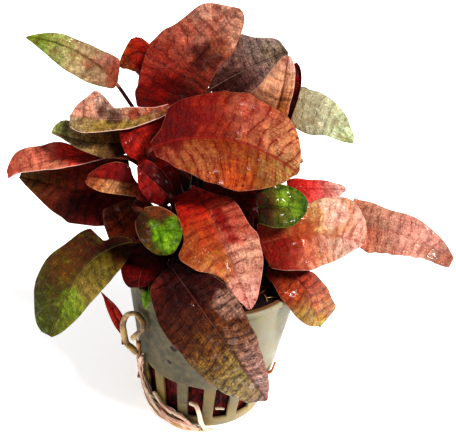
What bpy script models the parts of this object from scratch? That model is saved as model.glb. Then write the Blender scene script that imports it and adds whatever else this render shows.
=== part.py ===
"""A potted cryptocoryne: a leafy water plant growing out of a slotted net pot.

The origin is the middle of the pot's flat underside, +Z is up and -Y is the plant's front.
Sizes are typed in millimetres and turned into metres where the meshes are made.
"""

import math

import bpy
import numpy as np

MM = 0.001

# The pot, a standard 5 cm net pot
POT_HEIGHT = 50.0
RIM_RADIUS = 25.0
BASE_RADIUS = 18.0
WALL = 1.2
LIP_HEIGHT = 2.2
LIP_PROUD = 0.7
SLOT_COUNT = 16
SLOT_DEGREES = 12.5
SLOT_BOTTOM = 4.2
SLOT_TOP = 18.2
FIRST_SLOT_DEGREES = -5.2
FLOOR_SLOT_INNER = 6.0
FLOOR_SLOT_OUTER = 14.0
FOOT_BEVEL = 0.8
FOOT_BEVEL_INSIDE = 1.8
LIP_STEP = 0.5
SHARP_DEGREES = 35.0

# The growing medium inside it, which comes up close under the leaf stalks
MEDIUM_GAP = 0.4
MEDIUM_TOP = 49.4
MEDIUM_SWELL = 0.4
MEDIUM_SECTORS = 28
MEDIUM_FOOT_INSET = 3.0
MEDIUM_FOOT_HEIGHT = 3.5
MEDIUM_EDGE_DROP = 1.0
MEDIUM_OUTER_RING = 0.72
MEDIUM_INNER_RING = 0.4
MEDIUM_WAVES = 3

# The short upright stem that the leaves grow from
RHIZOME_RADIUS = 2.2
RHIZOME_BOTTOM = 49.9
RHIZOME_TOP = 54.0
RHIZOME_SIDES = 10
RHIZOME_RIBS = 5
RHIZOME_RIB_SHARE = 0.08

# Leaves
BLADE_THICKNESS = 0.6
BLADE_ROWS = (0.03, 0.12, 0.26, 0.42, 0.58, 0.74, 0.88, 0.97)
BLADE_COLUMNS = (-1.0, -0.5, 0.0, 0.5, 1.0)
STALK_ROWS = (0.0, 0.28, 0.55, 0.8, 0.95)
STALK_UPRIGHT = 0.35
STEP_ALONG = 0.01


def clear_scene():
    for item in list(bpy.data.objects):
        bpy.data.objects.remove(item, do_unlink=True)


def make_material(name, colour, roughness):
    material = bpy.data.materials.new(name)
    material.use_nodes = True
    shader = material.node_tree.nodes["Principled BSDF"]
    shader.inputs["Base Color"].default_value = (*colour, 1.0)
    shader.inputs["Roughness"].default_value = roughness
    shader.inputs["Metallic"].default_value = 0.0
    material.diffuse_color = (*colour, 1.0)
    return material


def add_mesh(name, points, faces, material, origin=(0.0, 0.0, 0.0)):
    """A smooth mesh object from points in millimetres, with its origin at the given point."""
    mesh = bpy.data.meshes.new(name)
    local = (np.array(points, float) - np.array(origin, float)) * MM
    mesh.from_pydata(local.tolist(), [], faces)
    mesh.materials.append(material)
    mesh.shade_smooth()
    mesh.update()
    item = bpy.data.objects.new(name, mesh)
    item.location = [value * MM for value in origin]
    bpy.context.collection.objects.link(item)
    return item


def smooth_path(points, count):
    """Evenly spaced points of a Catmull-Rom curve through the given points."""
    points = np.array(points, float)
    first = 2 * points[0] - points[1]
    last = 2 * points[-1] - points[-2]
    knots = np.vstack([first, points, last])
    path = []
    for position in np.linspace(0, len(points) - 1, count):
        k = min(int(position), len(points) - 2)
        f = position - k
        a, b, c, d = knots[k:k + 4]
        path.append(0.5 * (2 * b + (c - a) * f + (2 * a - 5 * b + 4 * c - d) * f ** 2
                           + (3 * b - a - 3 * c + d) * f ** 3))
    return np.array(path)


def add_strand(name, points, radius, taper, count, material):
    """A round strand along a path, thinning to the share `taper` of its radius at the far end."""
    path = smooth_path(points, count)
    curve = bpy.data.curves.new(name, "CURVE")
    curve.dimensions = "3D"
    curve.bevel_depth = radius * MM
    curve.bevel_resolution = 1
    curve.use_fill_caps = True
    spline = curve.splines.new("POLY")
    spline.points.add(count - 1)
    for i, point in enumerate(path - path[0]):
        spline.points[i].co = (*(point * MM), 1.0)
        spline.points[i].radius = 1 - (1 - taper) * i / (count - 1)
    curve.materials.append(material)
    item = bpy.data.objects.new(name, curve)
    item.location = path[0] * MM
    bpy.context.collection.objects.link(item)
    return item


# The net pot

def wall_radius(height):
    """Outer radius of the plain wall at a height."""
    return BASE_RADIUS + (RIM_RADIUS - LIP_PROUD - BASE_RADIUS) * height / POT_HEIGHT


def on_wall(degrees, height, proud):
    """A point outside the wall: degrees are counted from the front towards +X."""
    radius = wall_radius(height) + proud
    angle = math.radians(degrees)
    return (radius * math.sin(angle), -radius * math.cos(angle), height)


def net_pot(material):
    lip_bottom = POT_HEIGHT - LIP_HEIGHT
    lip_step = lip_bottom + LIP_STEP
    outer = [(FLOOR_SLOT_INNER, 0.0), (FLOOR_SLOT_OUTER, 0.0), (BASE_RADIUS - FOOT_BEVEL, 0.0),
             (wall_radius(FOOT_BEVEL), FOOT_BEVEL), (wall_radius(SLOT_BOTTOM), SLOT_BOTTOM),
             (wall_radius(SLOT_TOP), SLOT_TOP), (wall_radius(lip_bottom), lip_bottom),
             (RIM_RADIUS, lip_step), (RIM_RADIUS, POT_HEIGHT)]
    inner = [(FLOOR_SLOT_INNER, WALL), (FLOOR_SLOT_OUTER, WALL), (BASE_RADIUS - FOOT_BEVEL_INSIDE, WALL),
             (wall_radius(FOOT_BEVEL_INSIDE) - WALL, FOOT_BEVEL_INSIDE),
             (wall_radius(SLOT_BOTTOM) - WALL, SLOT_BOTTOM), (wall_radius(SLOT_TOP) - WALL, SLOT_TOP),
             (wall_radius(lip_bottom) - WALL, lip_bottom), (wall_radius(lip_step) - WALL, lip_step),
             (wall_radius(POT_HEIGHT) - WALL, POT_HEIGHT)]
    floor_slot_row = 0
    wall_slot_row = 4
    pitch = 360 / SLOT_COUNT
    edges = []
    for k in range(SLOT_COUNT):
        middle = FIRST_SLOT_DEGREES + k * pitch
        edges += [middle - SLOT_DEGREES / 2, middle + SLOT_DEGREES / 2]
    sectors = len(edges)
    rows = len(outer)
    points = [(0, 0, 0), (0, 0, WALL)]
    for profile in (outer, inner):
        for radius, height in profile:
            for degrees in edges:
                angle = math.radians(degrees)
                points.append((radius * math.sin(angle), -radius * math.cos(angle), height))

    def index(side, row, sector):
        return 2 + (side * rows + row) * sectors + sector % sectors

    def is_open(row, sector):
        in_slot = sector % 2 == 0
        floor_slot = row == floor_slot_row and sector % 4 == 0
        return in_slot and (row == wall_slot_row or floor_slot)

    faces = []
    for sector in range(sectors):
        after = sector + 1
        faces.append((0, index(0, 0, after), index(0, 0, sector)))
        faces.append((1, index(1, 0, sector), index(1, 0, after)))
        faces.append((index(0, rows - 1, sector), index(0, rows - 1, after),
                      index(1, rows - 1, after), index(1, rows - 1, sector)))
        for row in range(rows - 1):
            corners = ((row, sector), (row, after), (row + 1, after), (row + 1, sector))
            if is_open(row, sector):
                for (row_a, side_a), (row_b, side_b) in zip(corners, corners[1:] + corners[:1]):
                    faces.append((index(0, row_a, side_a), index(0, row_b, side_b),
                                  index(1, row_b, side_b), index(1, row_a, side_a)))
            else:
                faces.append(tuple(index(0, r, s) for r, s in corners))
                faces.append(tuple(index(1, r, s) for r, s in reversed(corners)))
    item = add_mesh("net_pot", points, faces, material)
    item.data.set_sharp_from_angle(angle=math.radians(SHARP_DEGREES))
    return item


def growing_medium(material):
    """The packed fibre that fills the pot, with a gently uneven top."""
    sectors = MEDIUM_SECTORS
    clear = WALL + MEDIUM_GAP
    edge = MEDIUM_TOP - MEDIUM_EDGE_DROP
    side_profile = [(BASE_RADIUS - MEDIUM_FOOT_INSET, clear),
                    (wall_radius(MEDIUM_FOOT_HEIGHT) - clear, MEDIUM_FOOT_HEIGHT),
                    (wall_radius(SLOT_TOP) - clear, SLOT_TOP), (wall_radius(edge) - clear, edge)]
    top_profile = [(wall_radius(edge) * MEDIUM_OUTER_RING, MEDIUM_TOP),
                   (wall_radius(edge) * MEDIUM_INNER_RING, MEDIUM_TOP)]
    profile = side_profile + top_profile
    points = [(0, 0, clear), (0, 0, MEDIUM_TOP)]
    for row, (radius, height) in enumerate(profile):
        swell = MEDIUM_SWELL if row >= len(side_profile) else 0.0
        for sector in range(sectors):
            angle = 2 * math.pi * sector / sectors
            points.append((radius * math.sin(angle), -radius * math.cos(angle),
                           height + swell * math.sin(MEDIUM_WAVES * angle + row)))
    faces = []
    last = len(profile) - 1
    for sector in range(sectors):
        after = (sector + 1) % sectors
        faces.append((0, 2 + after, 2 + sector))
        faces.append((1, 2 + last * sectors + sector, 2 + last * sectors + after))
        for row in range(last):
            low = 2 + row * sectors
            high = low + sectors
            faces.append((low + sector, low + after, high + after, high + sector))
    return add_mesh("growing_medium", points, faces, material)


def rhizome(material):
    """The knobbly stem base standing on the medium."""
    sides = RHIZOME_SIDES
    rings = ((0.0, 0.8), (0.2, 1.0), (0.45, 0.8), (0.85, 0.9), (1.0, 0.5))
    points = []
    for rise, share in rings:
        height = RHIZOME_BOTTOM + rise * (RHIZOME_TOP - RHIZOME_BOTTOM)
        for side in range(sides):
            angle = 2 * math.pi * side / sides
            radius = RHIZOME_RADIUS * share * (1 + RHIZOME_RIB_SHARE * math.cos(RHIZOME_RIBS * angle))
            points.append((radius * math.cos(angle), radius * math.sin(angle), height))
    faces = [tuple(reversed(range(sides))), tuple(range(len(points) - sides, len(points)))]
    for ring in range(len(rings) - 1):
        for side in range(sides):
            after = (side + 1) % sides
            low = ring * sides
            high = low + sides
            faces.append((low + side, low + after, high + after, high + side))
    return add_mesh("rhizome", points, faces, material, origin=(0, 0, RHIZOME_BOTTOM))


# Leaf geometry

def unit(vector):
    return vector / np.linalg.norm(vector)


def arc_through(start, middle, end, t):
    """The point at t of the parabola from start through middle to end."""
    control = 2 * middle - (start + end) / 2
    return (1 - t) ** 2 * start + 2 * t * (1 - t) * control + t ** 2 * end


def half_width(t, widths, ends):
    """Half width at t, read smoothly from widths at 10, 30, 50, 70 and 90%, closed off at both ends."""
    widths = np.array(widths, float)
    slope = np.gradient(widths)
    place = (min(max(t, 0.1), 0.9) - 0.1) / 0.2
    k = min(int(place), 3)
    f = place - k
    width = ((2 * f ** 3 - 3 * f ** 2 + 1) * widths[k] + (f ** 3 - 2 * f ** 2 + f) * slope[k]
             + (3 * f ** 2 - 2 * f ** 3) * widths[k + 1] + (f ** 3 - f ** 2) * slope[k + 1])
    start = 1 - (1 - min(t / 0.2, 1)) ** 2
    end = 1 - (1 - min((1 - t) / 0.25, 1)) ** 2
    return width * start ** ends[0] * end ** ends[1]


def bent_offset(distance, full, bend):
    """Run and rise at a distance along a section that bends steadily over its full width."""
    start, end = np.radians(bend)
    steps = 12
    angles = start + (end - start) * distance / max(full, 1e-6) * (np.arange(steps) + 0.5) / steps
    return np.cos(angles).sum() * distance / steps, np.sin(angles).sum() * distance / steps


def blade_frame(leaf, t):
    """Spine point, forward, side and normal at t along the blade."""
    base, middle, tip = (np.array(leaf[key], float) for key in ("base", "middle", "tip"))
    spine = arc_through(base, middle, tip, t)
    ahead = arc_through(base, middle, tip, t + STEP_ALONG)
    behind = arc_through(base, middle, tip, t - STEP_ALONG)
    forward = unit(ahead - behind)
    face = unit(np.array(leaf["face"], float)) * (1 - t) + unit(np.array(leaf["face_tip"], float)) * t
    side = unit(np.cross(forward, face))
    return spine, forward, side, np.cross(side, forward)


def blade_point(leaf, t, across):
    """A point of the blade's middle sheet: t runs from base to tip, across from -1 to 1."""
    spine, forward, side, normal = blade_frame(leaf, t)
    hand = "left" if across < 0 else "right"
    full = half_width(t, leaf[hand], leaf["ends"])
    run, rise = bent_offset(abs(across) * full, full, leaf["bend_" + hand])
    size, count, phase = leaf["ruffle"]
    swing = math.sin(2 * math.pi * (count * t + phase + 0.25 * np.sign(across)))
    rise += size * swing * across ** 2 * min(1.0, 4 * t) * min(1.0, 5 * (1 - t))
    return spine + np.sign(across) * run * side + rise * normal


def stalk_point(leaf, t):
    """A point along the stalk, which leaves the root upright and bends into line with the blade."""
    root, base, middle, tip = (np.array(leaf[key], float) for key in ("root", "base", "middle", "tip"))
    start = unit(2 * middle - (base + tip) / 2 - base)
    length = np.linalg.norm(base - root)
    low = root + np.array([0, 0, STALK_UPRIGHT * length])
    high = base - start * length * leaf["pull"]
    return ((1 - t) ** 3 * root + 3 * t * (1 - t) ** 2 * low + 3 * t ** 2 * (1 - t) * high
            + t ** 3 * base)


def add_leaf(name, material, **leaf):
    """One leaf: a round stalk that flattens out into a thin blade, as one closed skin."""
    leaf.setdefault("face_tip", leaf["face"])
    leaf.setdefault("bend_left", (12, 0))
    leaf.setdefault("bend_right", (12, 0))
    leaf.setdefault("ends", (0.5, 0.6))
    leaf.setdefault("ruffle", (0.0, 2.0, 0.0))
    leaf.setdefault("stalk", 0.8)
    leaf.setdefault("pull", 0.35)
    columns = len(BLADE_COLUMNS)
    sides = 2 * columns - 2
    rings = []
    for t in STALK_ROWS:
        centre = stalk_point(leaf, t)
        forward = unit(stalk_point(leaf, t + STEP_ALONG) - stalk_point(leaf, t - STEP_ALONG))
        side = unit(np.cross(forward, np.array(leaf["face"], float)))
        normal = np.cross(side, forward)
        ring = []
        for k in range(sides):
            angle = math.pi - 2 * math.pi * k / sides
            ring.append(centre + leaf["stalk"] * (math.cos(angle) * side + math.sin(angle) * normal))
        rings.append(ring)
    for t in BLADE_ROWS:
        sheet = [blade_point(leaf, t, across) for across in BLADE_COLUMNS]
        forward = blade_frame(leaf, t)[1]
        upper = []
        lower = []
        for k in range(1, columns - 1):
            normal = unit(np.cross(unit(sheet[k + 1] - sheet[k - 1]), forward))
            upper.append(sheet[k] + normal * BLADE_THICKNESS / 2)
            lower.append(sheet[k] - normal * BLADE_THICKNESS / 2)
        rings.append([sheet[0], *upper, sheet[-1], *reversed(lower)])
    points = [point for ring in rings for point in ring]
    points.append(np.array(leaf["tip"], float))
    faces = [tuple(reversed(range(sides)))]
    for ring in range(len(rings) - 1):
        for k in range(sides):
            after = (k + 1) % sides
            low = ring * sides
            high = low + sides
            faces.append((low + k, low + after, high + after, high + k))
    last = (len(rings) - 1) * sides
    for k in range(sides):
        faces.append((last + k, last + (k + 1) % sides, len(points) - 1))
    return add_mesh(name, points, faces, material, origin=leaf["root"])


def back_leaves(red, purple, pale):
    add_leaf("leaf_far_left_slender", pale, root=(-9, 8, 50), base=(-29.4, 14, 91.3),
             middle=(-38.6, 9, 101.8), tip=(-51, 10, 103.9), face=(0.2, -0.7, 0.7),
             left=(2.2, 3, 3, 2.2, 1), right=(3, 5, 5.5, 4.5, 2.5), ends=(0.5, 0.8), stalk=0.6, pull=0.06)
    add_leaf("leaf_back_left_scarlet", red, root=(-5, 11, 50), base=(-20, 26, 91), middle=(-26, 25, 95),
             tip=(-30.5, 24, 89), face=(0, -0.9, 0.4), left=(4, 4.5, 4, 2.5, 1), right=(3, 4.5, 4.5, 2.5, 1))
    add_leaf("leaf_back_tall", red, root=(-6, 8, 50), base=(-18, 18, 82), middle=(-11, 15, 98),
             tip=(0.5, 20, 112.3), face=(0.2, -0.9, 0.4),
             left=(8, 9.5, 10, 9.5, 8), right=(7, 8, 8.5, 8, 6.5), ends=(0.5, 0.4), ruffle=(0.6, 2, 0))
    add_leaf("leaf_back_purple", purple, root=(-1, 12, 50), base=(-6, 29, 84), middle=(4, 30, 91),
             tip=(14, 28, 98), face=(0.1, -0.8, 0.6), left=(5, 7.5, 8, 8, 6), right=(6, 8, 9, 8, 5),
             ends=(0.5, 0.5))
    add_leaf("leaf_back_right_folded", red, root=(5, 8, 50), base=(12, 16, 86), middle=(13, 14, 95),
             tip=(13, 14, 104), face=(0, -1, 0.2), left=(6.5, 6, 4.5, 3, 1.5), right=(3, 4, 4, 3.5, 2.5))
    add_leaf("leaf_back_right_sliver", purple, root=(8, 9, 50), base=(15.6, 22.5, 82.8),
             middle=(17.6, 23, 89.9), tip=(16, 23.5, 97.4), face=(-0.3, -0.9, 0.2),
             left=(1.5, 2, 2, 2, 1), right=(1.5, 2, 2, 2, 1))
    add_leaf("leaf_back_right_pale", pale, root=(9, 5, 50), base=(16, 15, 84), middle=(25, 14, 86),
             tip=(33, 11, 82), face=(0.2, -0.5, 0.85),
             left=(7.5, 9.5, 8.5, 5.5, 2), right=(3, 4.5, 4.5, 3.5, 2), ends=(0.5, 0.7))
    add_leaf("leaf_back_low_left", purple, root=(-6, 14, 50), base=(-5, 15, 54), middle=(-10, 21, 60),
             tip=(-16, 29, 60), face=(0, -0.6, 0.8), left=(5, 7, 7, 6, 4), right=(5, 7, 7, 6, 4))
    add_leaf("leaf_back_low_right", red, root=(3, 15, 50), base=(3, 16, 54), middle=(7, 21, 60),
             tip=(11, 29, 61), face=(0, -0.6, 0.8), left=(4, 7, 7, 6, 4), right=(4, 6, 6, 5, 3))
    add_leaf("leaf_back_drooping", red, root=(0.5, 10, 50), base=(0, 24, 66), middle=(0, 35, 64),
             tip=(2, 42, 52), face=(0, 0.4, 0.9), left=(5, 7, 7.5, 6.5, 4), right=(5, 7, 7.5, 6.5, 4))
    add_leaf("leaf_back_right_drooping", purple, root=(10, 13, 50), base=(14, 24, 64), middle=(18, 33, 62),
             tip=(20, 40, 54), face=(0.2, 0.4, 0.9), left=(4, 6, 6, 5, 3), right=(4, 6, 6, 5, 3))


def left_leaves(red, purple, green):
    add_leaf("leaf_left_trough", red, root=(-9, 5, 50), base=(-15, 9, 89), middle=(-27, 6, 86),
             tip=(-40, 5, 86), face=(0, -0.5, 0.85), left=(3, 5, 5.5, 5.5, 4), right=(1, 2, 4, 7.5, 4.5),
             bend_left=(-10, 45), bend_right=(15, 40))
    add_leaf("leaf_left_olive", green, root=(-12, 5, 50), base=(-24, 8, 78), middle=(-34, 6, 78),
             tip=(-45, 6, 80), face=(0, -0.5, 0.85), left=(3, 5, 5, 3.5, 1.5), right=(3, 4, 4, 4, 2.5))
    add_leaf("leaf_left_pink", red, root=(-14, 2, 50), base=(-27, 7, 74), middle=(-41, 7, 72),
             tip=(-57, 5, 66), face=(0, -0.5, 0.85), left=(1.5, 2.5, 3, 3.5, 2), right=(1, 2.5, 4, 6, 8),
             ends=(0.5, 0.3))
    add_leaf("leaf_left_dark", purple, root=(-15, 6, 50), base=(-23, 8, 60), middle=(-39, 8, 61),
             tip=(-56, 13, 60), face=(0, -0.6, 0.8), left=(7, 9, 9, 7, 3.5), right=(6, 8, 8, 7, 4))
    add_leaf("leaf_left_inner", purple, root=(-6.5, 4.5, 50), base=(-13, 2, 70), middle=(-18, 2, 77),
             tip=(-24, 5.5, 81.5), face=(0.3, -0.8, 0.5), left=(3, 4, 4, 3.5, 2), right=(3, 4, 4, 3.5, 2))
    add_leaf("leaf_left_low", purple, root=(-17.5, 1.2, 50.3), base=(-21.5, 0.6, 51.5),
             middle=(-25.4, 0.8, 55.5), tip=(-28.5, 1, 62.8), face=(0.3, -0.8, 0.5),
             left=(2.5, 3.5, 3.8, 3.4, 2), right=(2.5, 3.5, 3.8, 3.4, 2), stalk=0.6)
    add_leaf("leaf_left_amber", red, root=(-12, 1, 50), base=(-20, 0, 70), middle=(-27, -1.5, 72),
             tip=(-36, 1, 71), face=(0, -0.7, 0.7), left=(3, 4, 4, 3.5, 2), right=(3, 5, 5, 4.5, 3))
    add_leaf("leaf_left_shaded", purple, root=(-11.5, -2, 50.2), base=(-14.5, -3, 51.4),
             middle=(-18.2, -9, 51.6), tip=(-18.6, -17.6, 50.9), face=(-0.05, -0.1, 0.97),
             left=(3, 4.5, 5, 4.5, 3), right=(2.6, 3, 3.4, 4, 3.2), bend_left=(0, 0), bend_right=(0, 0))
    add_leaf("leaf_front_left_green", green, root=(-15, 0.2, 50), base=(-21.5, -4.4, 54.9),
             middle=(-34, -10, 49), tip=(-42, -16, 31), face=(0, -0.42, 0.9), face_tip=(-0.4, -0.8, 0.4),
             left=(7, 8.5, 9, 8.5, 5), right=(6, 8, 9, 9.5, 7), ends=(0.5, 0.5))


def middle_leaves(red, purple, green):
    add_leaf("leaf_top_broad", red, root=(-8, 1, 50), base=(-18, -3, 84), middle=(0, 1, 86.2),
             tip=(19, 1, 78), face=(0, -0.6, 0.8), left=(8, 11.5, 12.5, 12, 9), right=(7, 11, 14, 13, 8),
             ends=(0.5, 0.5), pull=0.12)
    add_leaf("leaf_middle_curled", red, root=(-9, -1, 50), base=(-13.5, -5, 72.3),
             middle=(-17.3, -6.3, 76.6), tip=(-21.2, -6, 80.1), face=(0.3, -0.8, 0.4),
             left=(3, 4, 4, 3.5, 2), right=(3, 4, 4, 3.5, 2))
    add_leaf("leaf_inner_middle", purple, root=(0, 5, 50), base=(2, 3.2, 56), middle=(2.5, 4.2, 67),
             tip=(4, 6, 79), face=(0, -1, 0.3), left=(6, 7.5, 7.5, 6.5, 4), right=(6, 7.5, 7.5, 6.5, 4))
    add_leaf("leaf_front_small_round", green, root=(-10, -6, 50), base=(-19, -13, 72),
             middle=(-15, -13, 67), tip=(-13, -15, 60), face=(-0.1, -0.8, 0.6),
             left=(5, 6, 6, 6, 4.5), right=(4, 5, 5, 5, 4), ends=(0.5, 0.5))
    add_leaf("leaf_front_red", red, root=(-5, -1, 50), base=(-7, 1, 70), middle=(1, -13, 66),
             tip=(10, -23, 52), face=(0.1, -0.7, 0.7),
             left=(7, 8.5, 8.5, 7.5, 4.5), right=(6, 7.4, 8.7, 6.8, 2.8))
    add_leaf("leaf_front_hanging", red, root=(-5, -8, 50), base=(-11, -15, 57), middle=(4, -28, 46),
             tip=(18, -18, 14), face=(0, -0.8, 0.6), face_tip=(0.3, -1, 0.3),
             left=(5, 7.5, 9, 7.5, 3), right=(8, 10, 9.5, 7.5, 3.5), ends=(0.5, 0.5))
    add_leaf("leaf_rim_seedling", green, root=(-15.7, -17.6, 51.6), base=(-15.8, -18.9, 51.4),
             middle=(-16.1, -20.3, 50.2), tip=(-16.3, -21, 46.9), face=(-0.5, -0.7, 0.5),
             left=(0.8, 1.4, 1.5, 1.2, 0.7), right=(0.8, 1.4, 1.5, 1.2, 0.7), stalk=0.4)


def right_leaves(red, green):
    add_leaf("leaf_right_small_green", green, root=(7, -2, 50), base=(9.2, -7.6, 72.4),
             middle=(15, -7.4, 73.2), tip=(22, -5.4, 71.4), face=(0.1, -0.7, 0.7),
             left=(3.5, 5, 5.3, 5, 3.5), right=(3.5, 4.5, 5, 4.5, 3), pull=0.15)
    add_leaf("leaf_right_broad", red, root=(6, -7, 50), base=(11, -9, 62), middle=(25, -5, 64),
             tip=(40, 3, 56), face=(0.2, -0.7, 0.7),
             left=(6, 8, 9.5, 10.5, 7.5), right=(7, 9.5, 8.5, 7.5, 5), ends=(0.5, 0.5))
    add_leaf("leaf_right_back_pink", red, root=(12, 8, 50), base=(18, 20, 60), middle=(26, 21, 60),
             tip=(35, 22, 60), face=(0, -0.3, 0.95), left=(3, 4, 4, 4, 3), right=(3, 4, 4, 4, 3))
    add_leaf("leaf_far_right", red, root=(14, 5, 50), base=(38, 22, 47.5), middle=(52.5, 18, 49),
             tip=(68, 15, 43.2), face=(0, -0.6, 0.8),
             left=(6.5, 7, 5.5, 5.5, 3.5), right=(6.5, 6, 5.5, 4.5, 3))
    add_leaf("leaf_front_right_amber", red, root=(9, -4, 50), base=(15, -4, 52), middle=(23, -12, 52),
             tip=(30, -10, 36), face=(0.3, -0.6, 0.7), left=(5, 6, 7.5, 8.5, 6), right=(4, 5, 4.5, 4, 2.5),
             ends=(0.5, 0.5))


def runner(tan, red):
    """The bent runner on the pot's left side and the young leaf that it carries."""
    path = [(-19.4, -13.3, 22.9), (-20.5, -13.7, 24.9), (-22, -13, 25.8), (-22.8, -12.7, 28.5),
            (-23.2, -12.6, 33), (-21.9, -13.2, 36.9), (-19.5, -15, 39.2), (-17.6, -16.6, 38.4),
            (-17.4, -16.9, 35.8), (-18.6, -16.6, 33.6), (-20, -16, 31.2)]
    add_strand("runner", path, radius=0.9, taper=0.8, count=26, material=tan)
    add_leaf("runner_leaf", red, root=(-23.5, -10.3, 24.4), base=(-23.7, -10.3, 26.4),
             middle=(-25.5, -10.2, 33.4), tip=(-29.6, -10.6, 41.9), face=(0.1, -0.9, 0.2),
             left=(1, 1.6, 1.7, 1.3, 0.5), right=(1, 1.6, 1.7, 1.3, 0.5), ends=(0.5, 0.8), stalk=0.4)


def roots(tan):
    """Roots that come out of the slots and wrap the foot of the pot."""
    add_strand("root_left_outer", [on_wall(-64, 23, 1.0), on_wall(-72, 16, 1.6), on_wall(-74, 10, 1.8),
                                   on_wall(-68, 4.5, 1.6), on_wall(-55, 1.6, 1.5), on_wall(-38, 1.2, 1.5),
                                   on_wall(-15, 1.2, 1.6)], 0.8, 0.8, 19, tan)
    add_strand("root_left_inner", [on_wall(-57, 20, 0.8), on_wall(-62, 14, 1.2), on_wall(-59, 8.5, 1.2),
                                   on_wall(-49, 5, 1.2), on_wall(-36, 3.6, 1.2), on_wall(-20, 3.4, 1.2)],
               0.55, 0.7, 14, tan)
    add_strand("root_front_curled", [on_wall(-9, 11.4, 0.2), on_wall(-4, 12, 1.2), on_wall(-1, 9, 1.8),
                                     on_wall(1, 5, 1.8), on_wall(5, 1.8, 2.0)], 0.7, 0.9, 12, tan)
    add_strand("root_front_short", [on_wall(13, 9.6, 0.1), on_wall(15, 10.6, 0.9),
                                    on_wall(18.5, 10.4, 1.2)], 0.5, 0.7, 7, tan)
    add_strand("root_front_foot", [on_wall(-44, 8.8, 0.8), on_wall(-35, 6.4, 1.0), on_wall(-24, 5.4, 1.1),
                                   on_wall(-13, 4, 1.2), on_wall(-6, 2.2, 1.2)], 0.5, 0.7, 12, tan)
    add_strand("root_right_tip", [on_wall(60, 16.5, -0.2), on_wall(61, 17.6, 1.2), on_wall(62, 21.5, 1.4)],
               0.5, 0.6, 8, tan)
    add_strand("root_left_back", [on_wall(-117, 16, 0.3), on_wall(-115, 12, 1.3), on_wall(-110, 5, 1.5),
                                  on_wall(-99, 1.4, 1.7), on_wall(-84, 0.9, 1.8)], 0.7, 0.7, 14, tan)
    add_strand("root_back", [on_wall(172, 12, 0.2), on_wall(175, 7, 1.3), on_wall(186, 1.5, 1.6),
                             on_wall(206, 0.9, 1.5)], 0.65, 0.6, 12, tan)


def build():
    clear_scene()
    plastic = make_material("pot_plastic", (0.55, 0.56, 0.47), 0.45)
    fibre = make_material("medium_fibre", (0.03, 0.018, 0.014), 0.95)
    red = make_material("leaf_red", (0.42, 0.11, 0.06), 0.4)
    purple = make_material("leaf_purple", (0.10, 0.04, 0.04), 0.4)
    green = make_material("leaf_green", (0.18, 0.26, 0.03), 0.4)
    pale = make_material("leaf_pale", (0.45, 0.48, 0.28), 0.4)
    tan = make_material("root_tan", (0.55, 0.36, 0.2), 0.55)
    net_pot(plastic)
    growing_medium(fibre)
    rhizome(tan)
    back_leaves(red, purple, pale)
    left_leaves(red, purple, green)
    middle_leaves(red, purple, green)
    right_leaves(red, green)
    runner(tan, red)
    roots(tan)


build()
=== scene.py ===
"""The looks of a potted cryptocoryne: fine leaves, pot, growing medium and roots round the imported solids.

Sizes are typed in millimetres. Meshes and materials turn them into metres.
"""

import math

import bpy
import numpy as np
from mathutils import Matrix, Vector


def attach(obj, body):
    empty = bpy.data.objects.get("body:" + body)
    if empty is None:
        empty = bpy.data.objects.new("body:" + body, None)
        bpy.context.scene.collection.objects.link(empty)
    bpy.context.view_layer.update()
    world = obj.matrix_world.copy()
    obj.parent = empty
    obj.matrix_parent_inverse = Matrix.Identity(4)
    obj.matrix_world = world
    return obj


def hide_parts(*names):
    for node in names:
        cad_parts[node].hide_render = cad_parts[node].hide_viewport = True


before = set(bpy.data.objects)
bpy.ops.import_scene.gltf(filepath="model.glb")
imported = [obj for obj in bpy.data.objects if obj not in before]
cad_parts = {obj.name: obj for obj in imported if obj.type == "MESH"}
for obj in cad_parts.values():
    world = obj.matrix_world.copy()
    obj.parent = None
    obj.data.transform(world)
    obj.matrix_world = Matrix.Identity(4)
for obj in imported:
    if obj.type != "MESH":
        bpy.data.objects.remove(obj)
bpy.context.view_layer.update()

MM = 0.001
BODY = "root"

# The camera, as it was matched to the pot in the photograph
IMAGE_WIDTH = 456
SENSOR_WIDTH = 36.0
FOCAL_PIXELS = 900.0
CAMERA_DISTANCE = 236.0
CAMERA_ELEVATION = 37.0
CAMERA_ROLL = 5.6
CAMERA_TARGET = (2.3, 0.0, 63.2)
PICTURE_CENTRE = (228.0, 216.0)
NEAREST_VIEW = 0.01

# Light and ground, with the ground's size and depth in metres
KEY_STRENGTH = 3.5
KEY_DEGREES = 16.0
KEY_DIRECTION = (0.5, -0.32, 0.8)
SKY_STRENGTH = 0.28
WHITE = (1.0, 1.0, 1.0, 1.0)
FLOOR_SIZE = 6.0
FLOOR_DROP = 0.0001
FLOOR_COLOUR = (0.88, 0.88, 0.88, 1.0)
FLOOR_GLOW = 0.45

# The pot, with the sizes of its solid
POT_HEIGHT = 50.0
RIM_RADIUS = 25.0
BASE_RADIUS = 18.0
WALL = 1.2
LIP_HEIGHT = 2.2
LIP_PROUD = 0.7
SLOT_COUNT = 16
SLOT_DEGREES = 12.5
SLOT_BOTTOM = 4.2
SLOT_TOP = 18.2
FIRST_SLOT_DEGREES = -5.2
FLOOR_SLOT_INNER = 6.0
FLOOR_SLOT_OUTER = 14.0
SLOT_CORNER = 0.7
SLOT_CORNER_DEGREES = 1.6
RIB_CORNER_DEGREES = 1.4
SLOT_UNEVENNESS = 0.22
SLOT_SEED = 11
# Dark flecks on its wall: degrees from the front, height and radius
POT_FLECKS = [(-23, 33, 1.0), (-27, 26.5, 0.7)]

# Growing medium, loose fibres and roots
MEDIUM_TOP = 49.4
MEDIUM_INSET = 1.6
MEDIUM_SECTORS = 96
MEDIUM_LUMP = 1.6
MEDIUM_SEED = 5
FIBRE_COUNT = 170
FIBRE_REACH = 22.6
FIBRE_SEED = 21
STRAND_POINTS = 60

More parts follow.
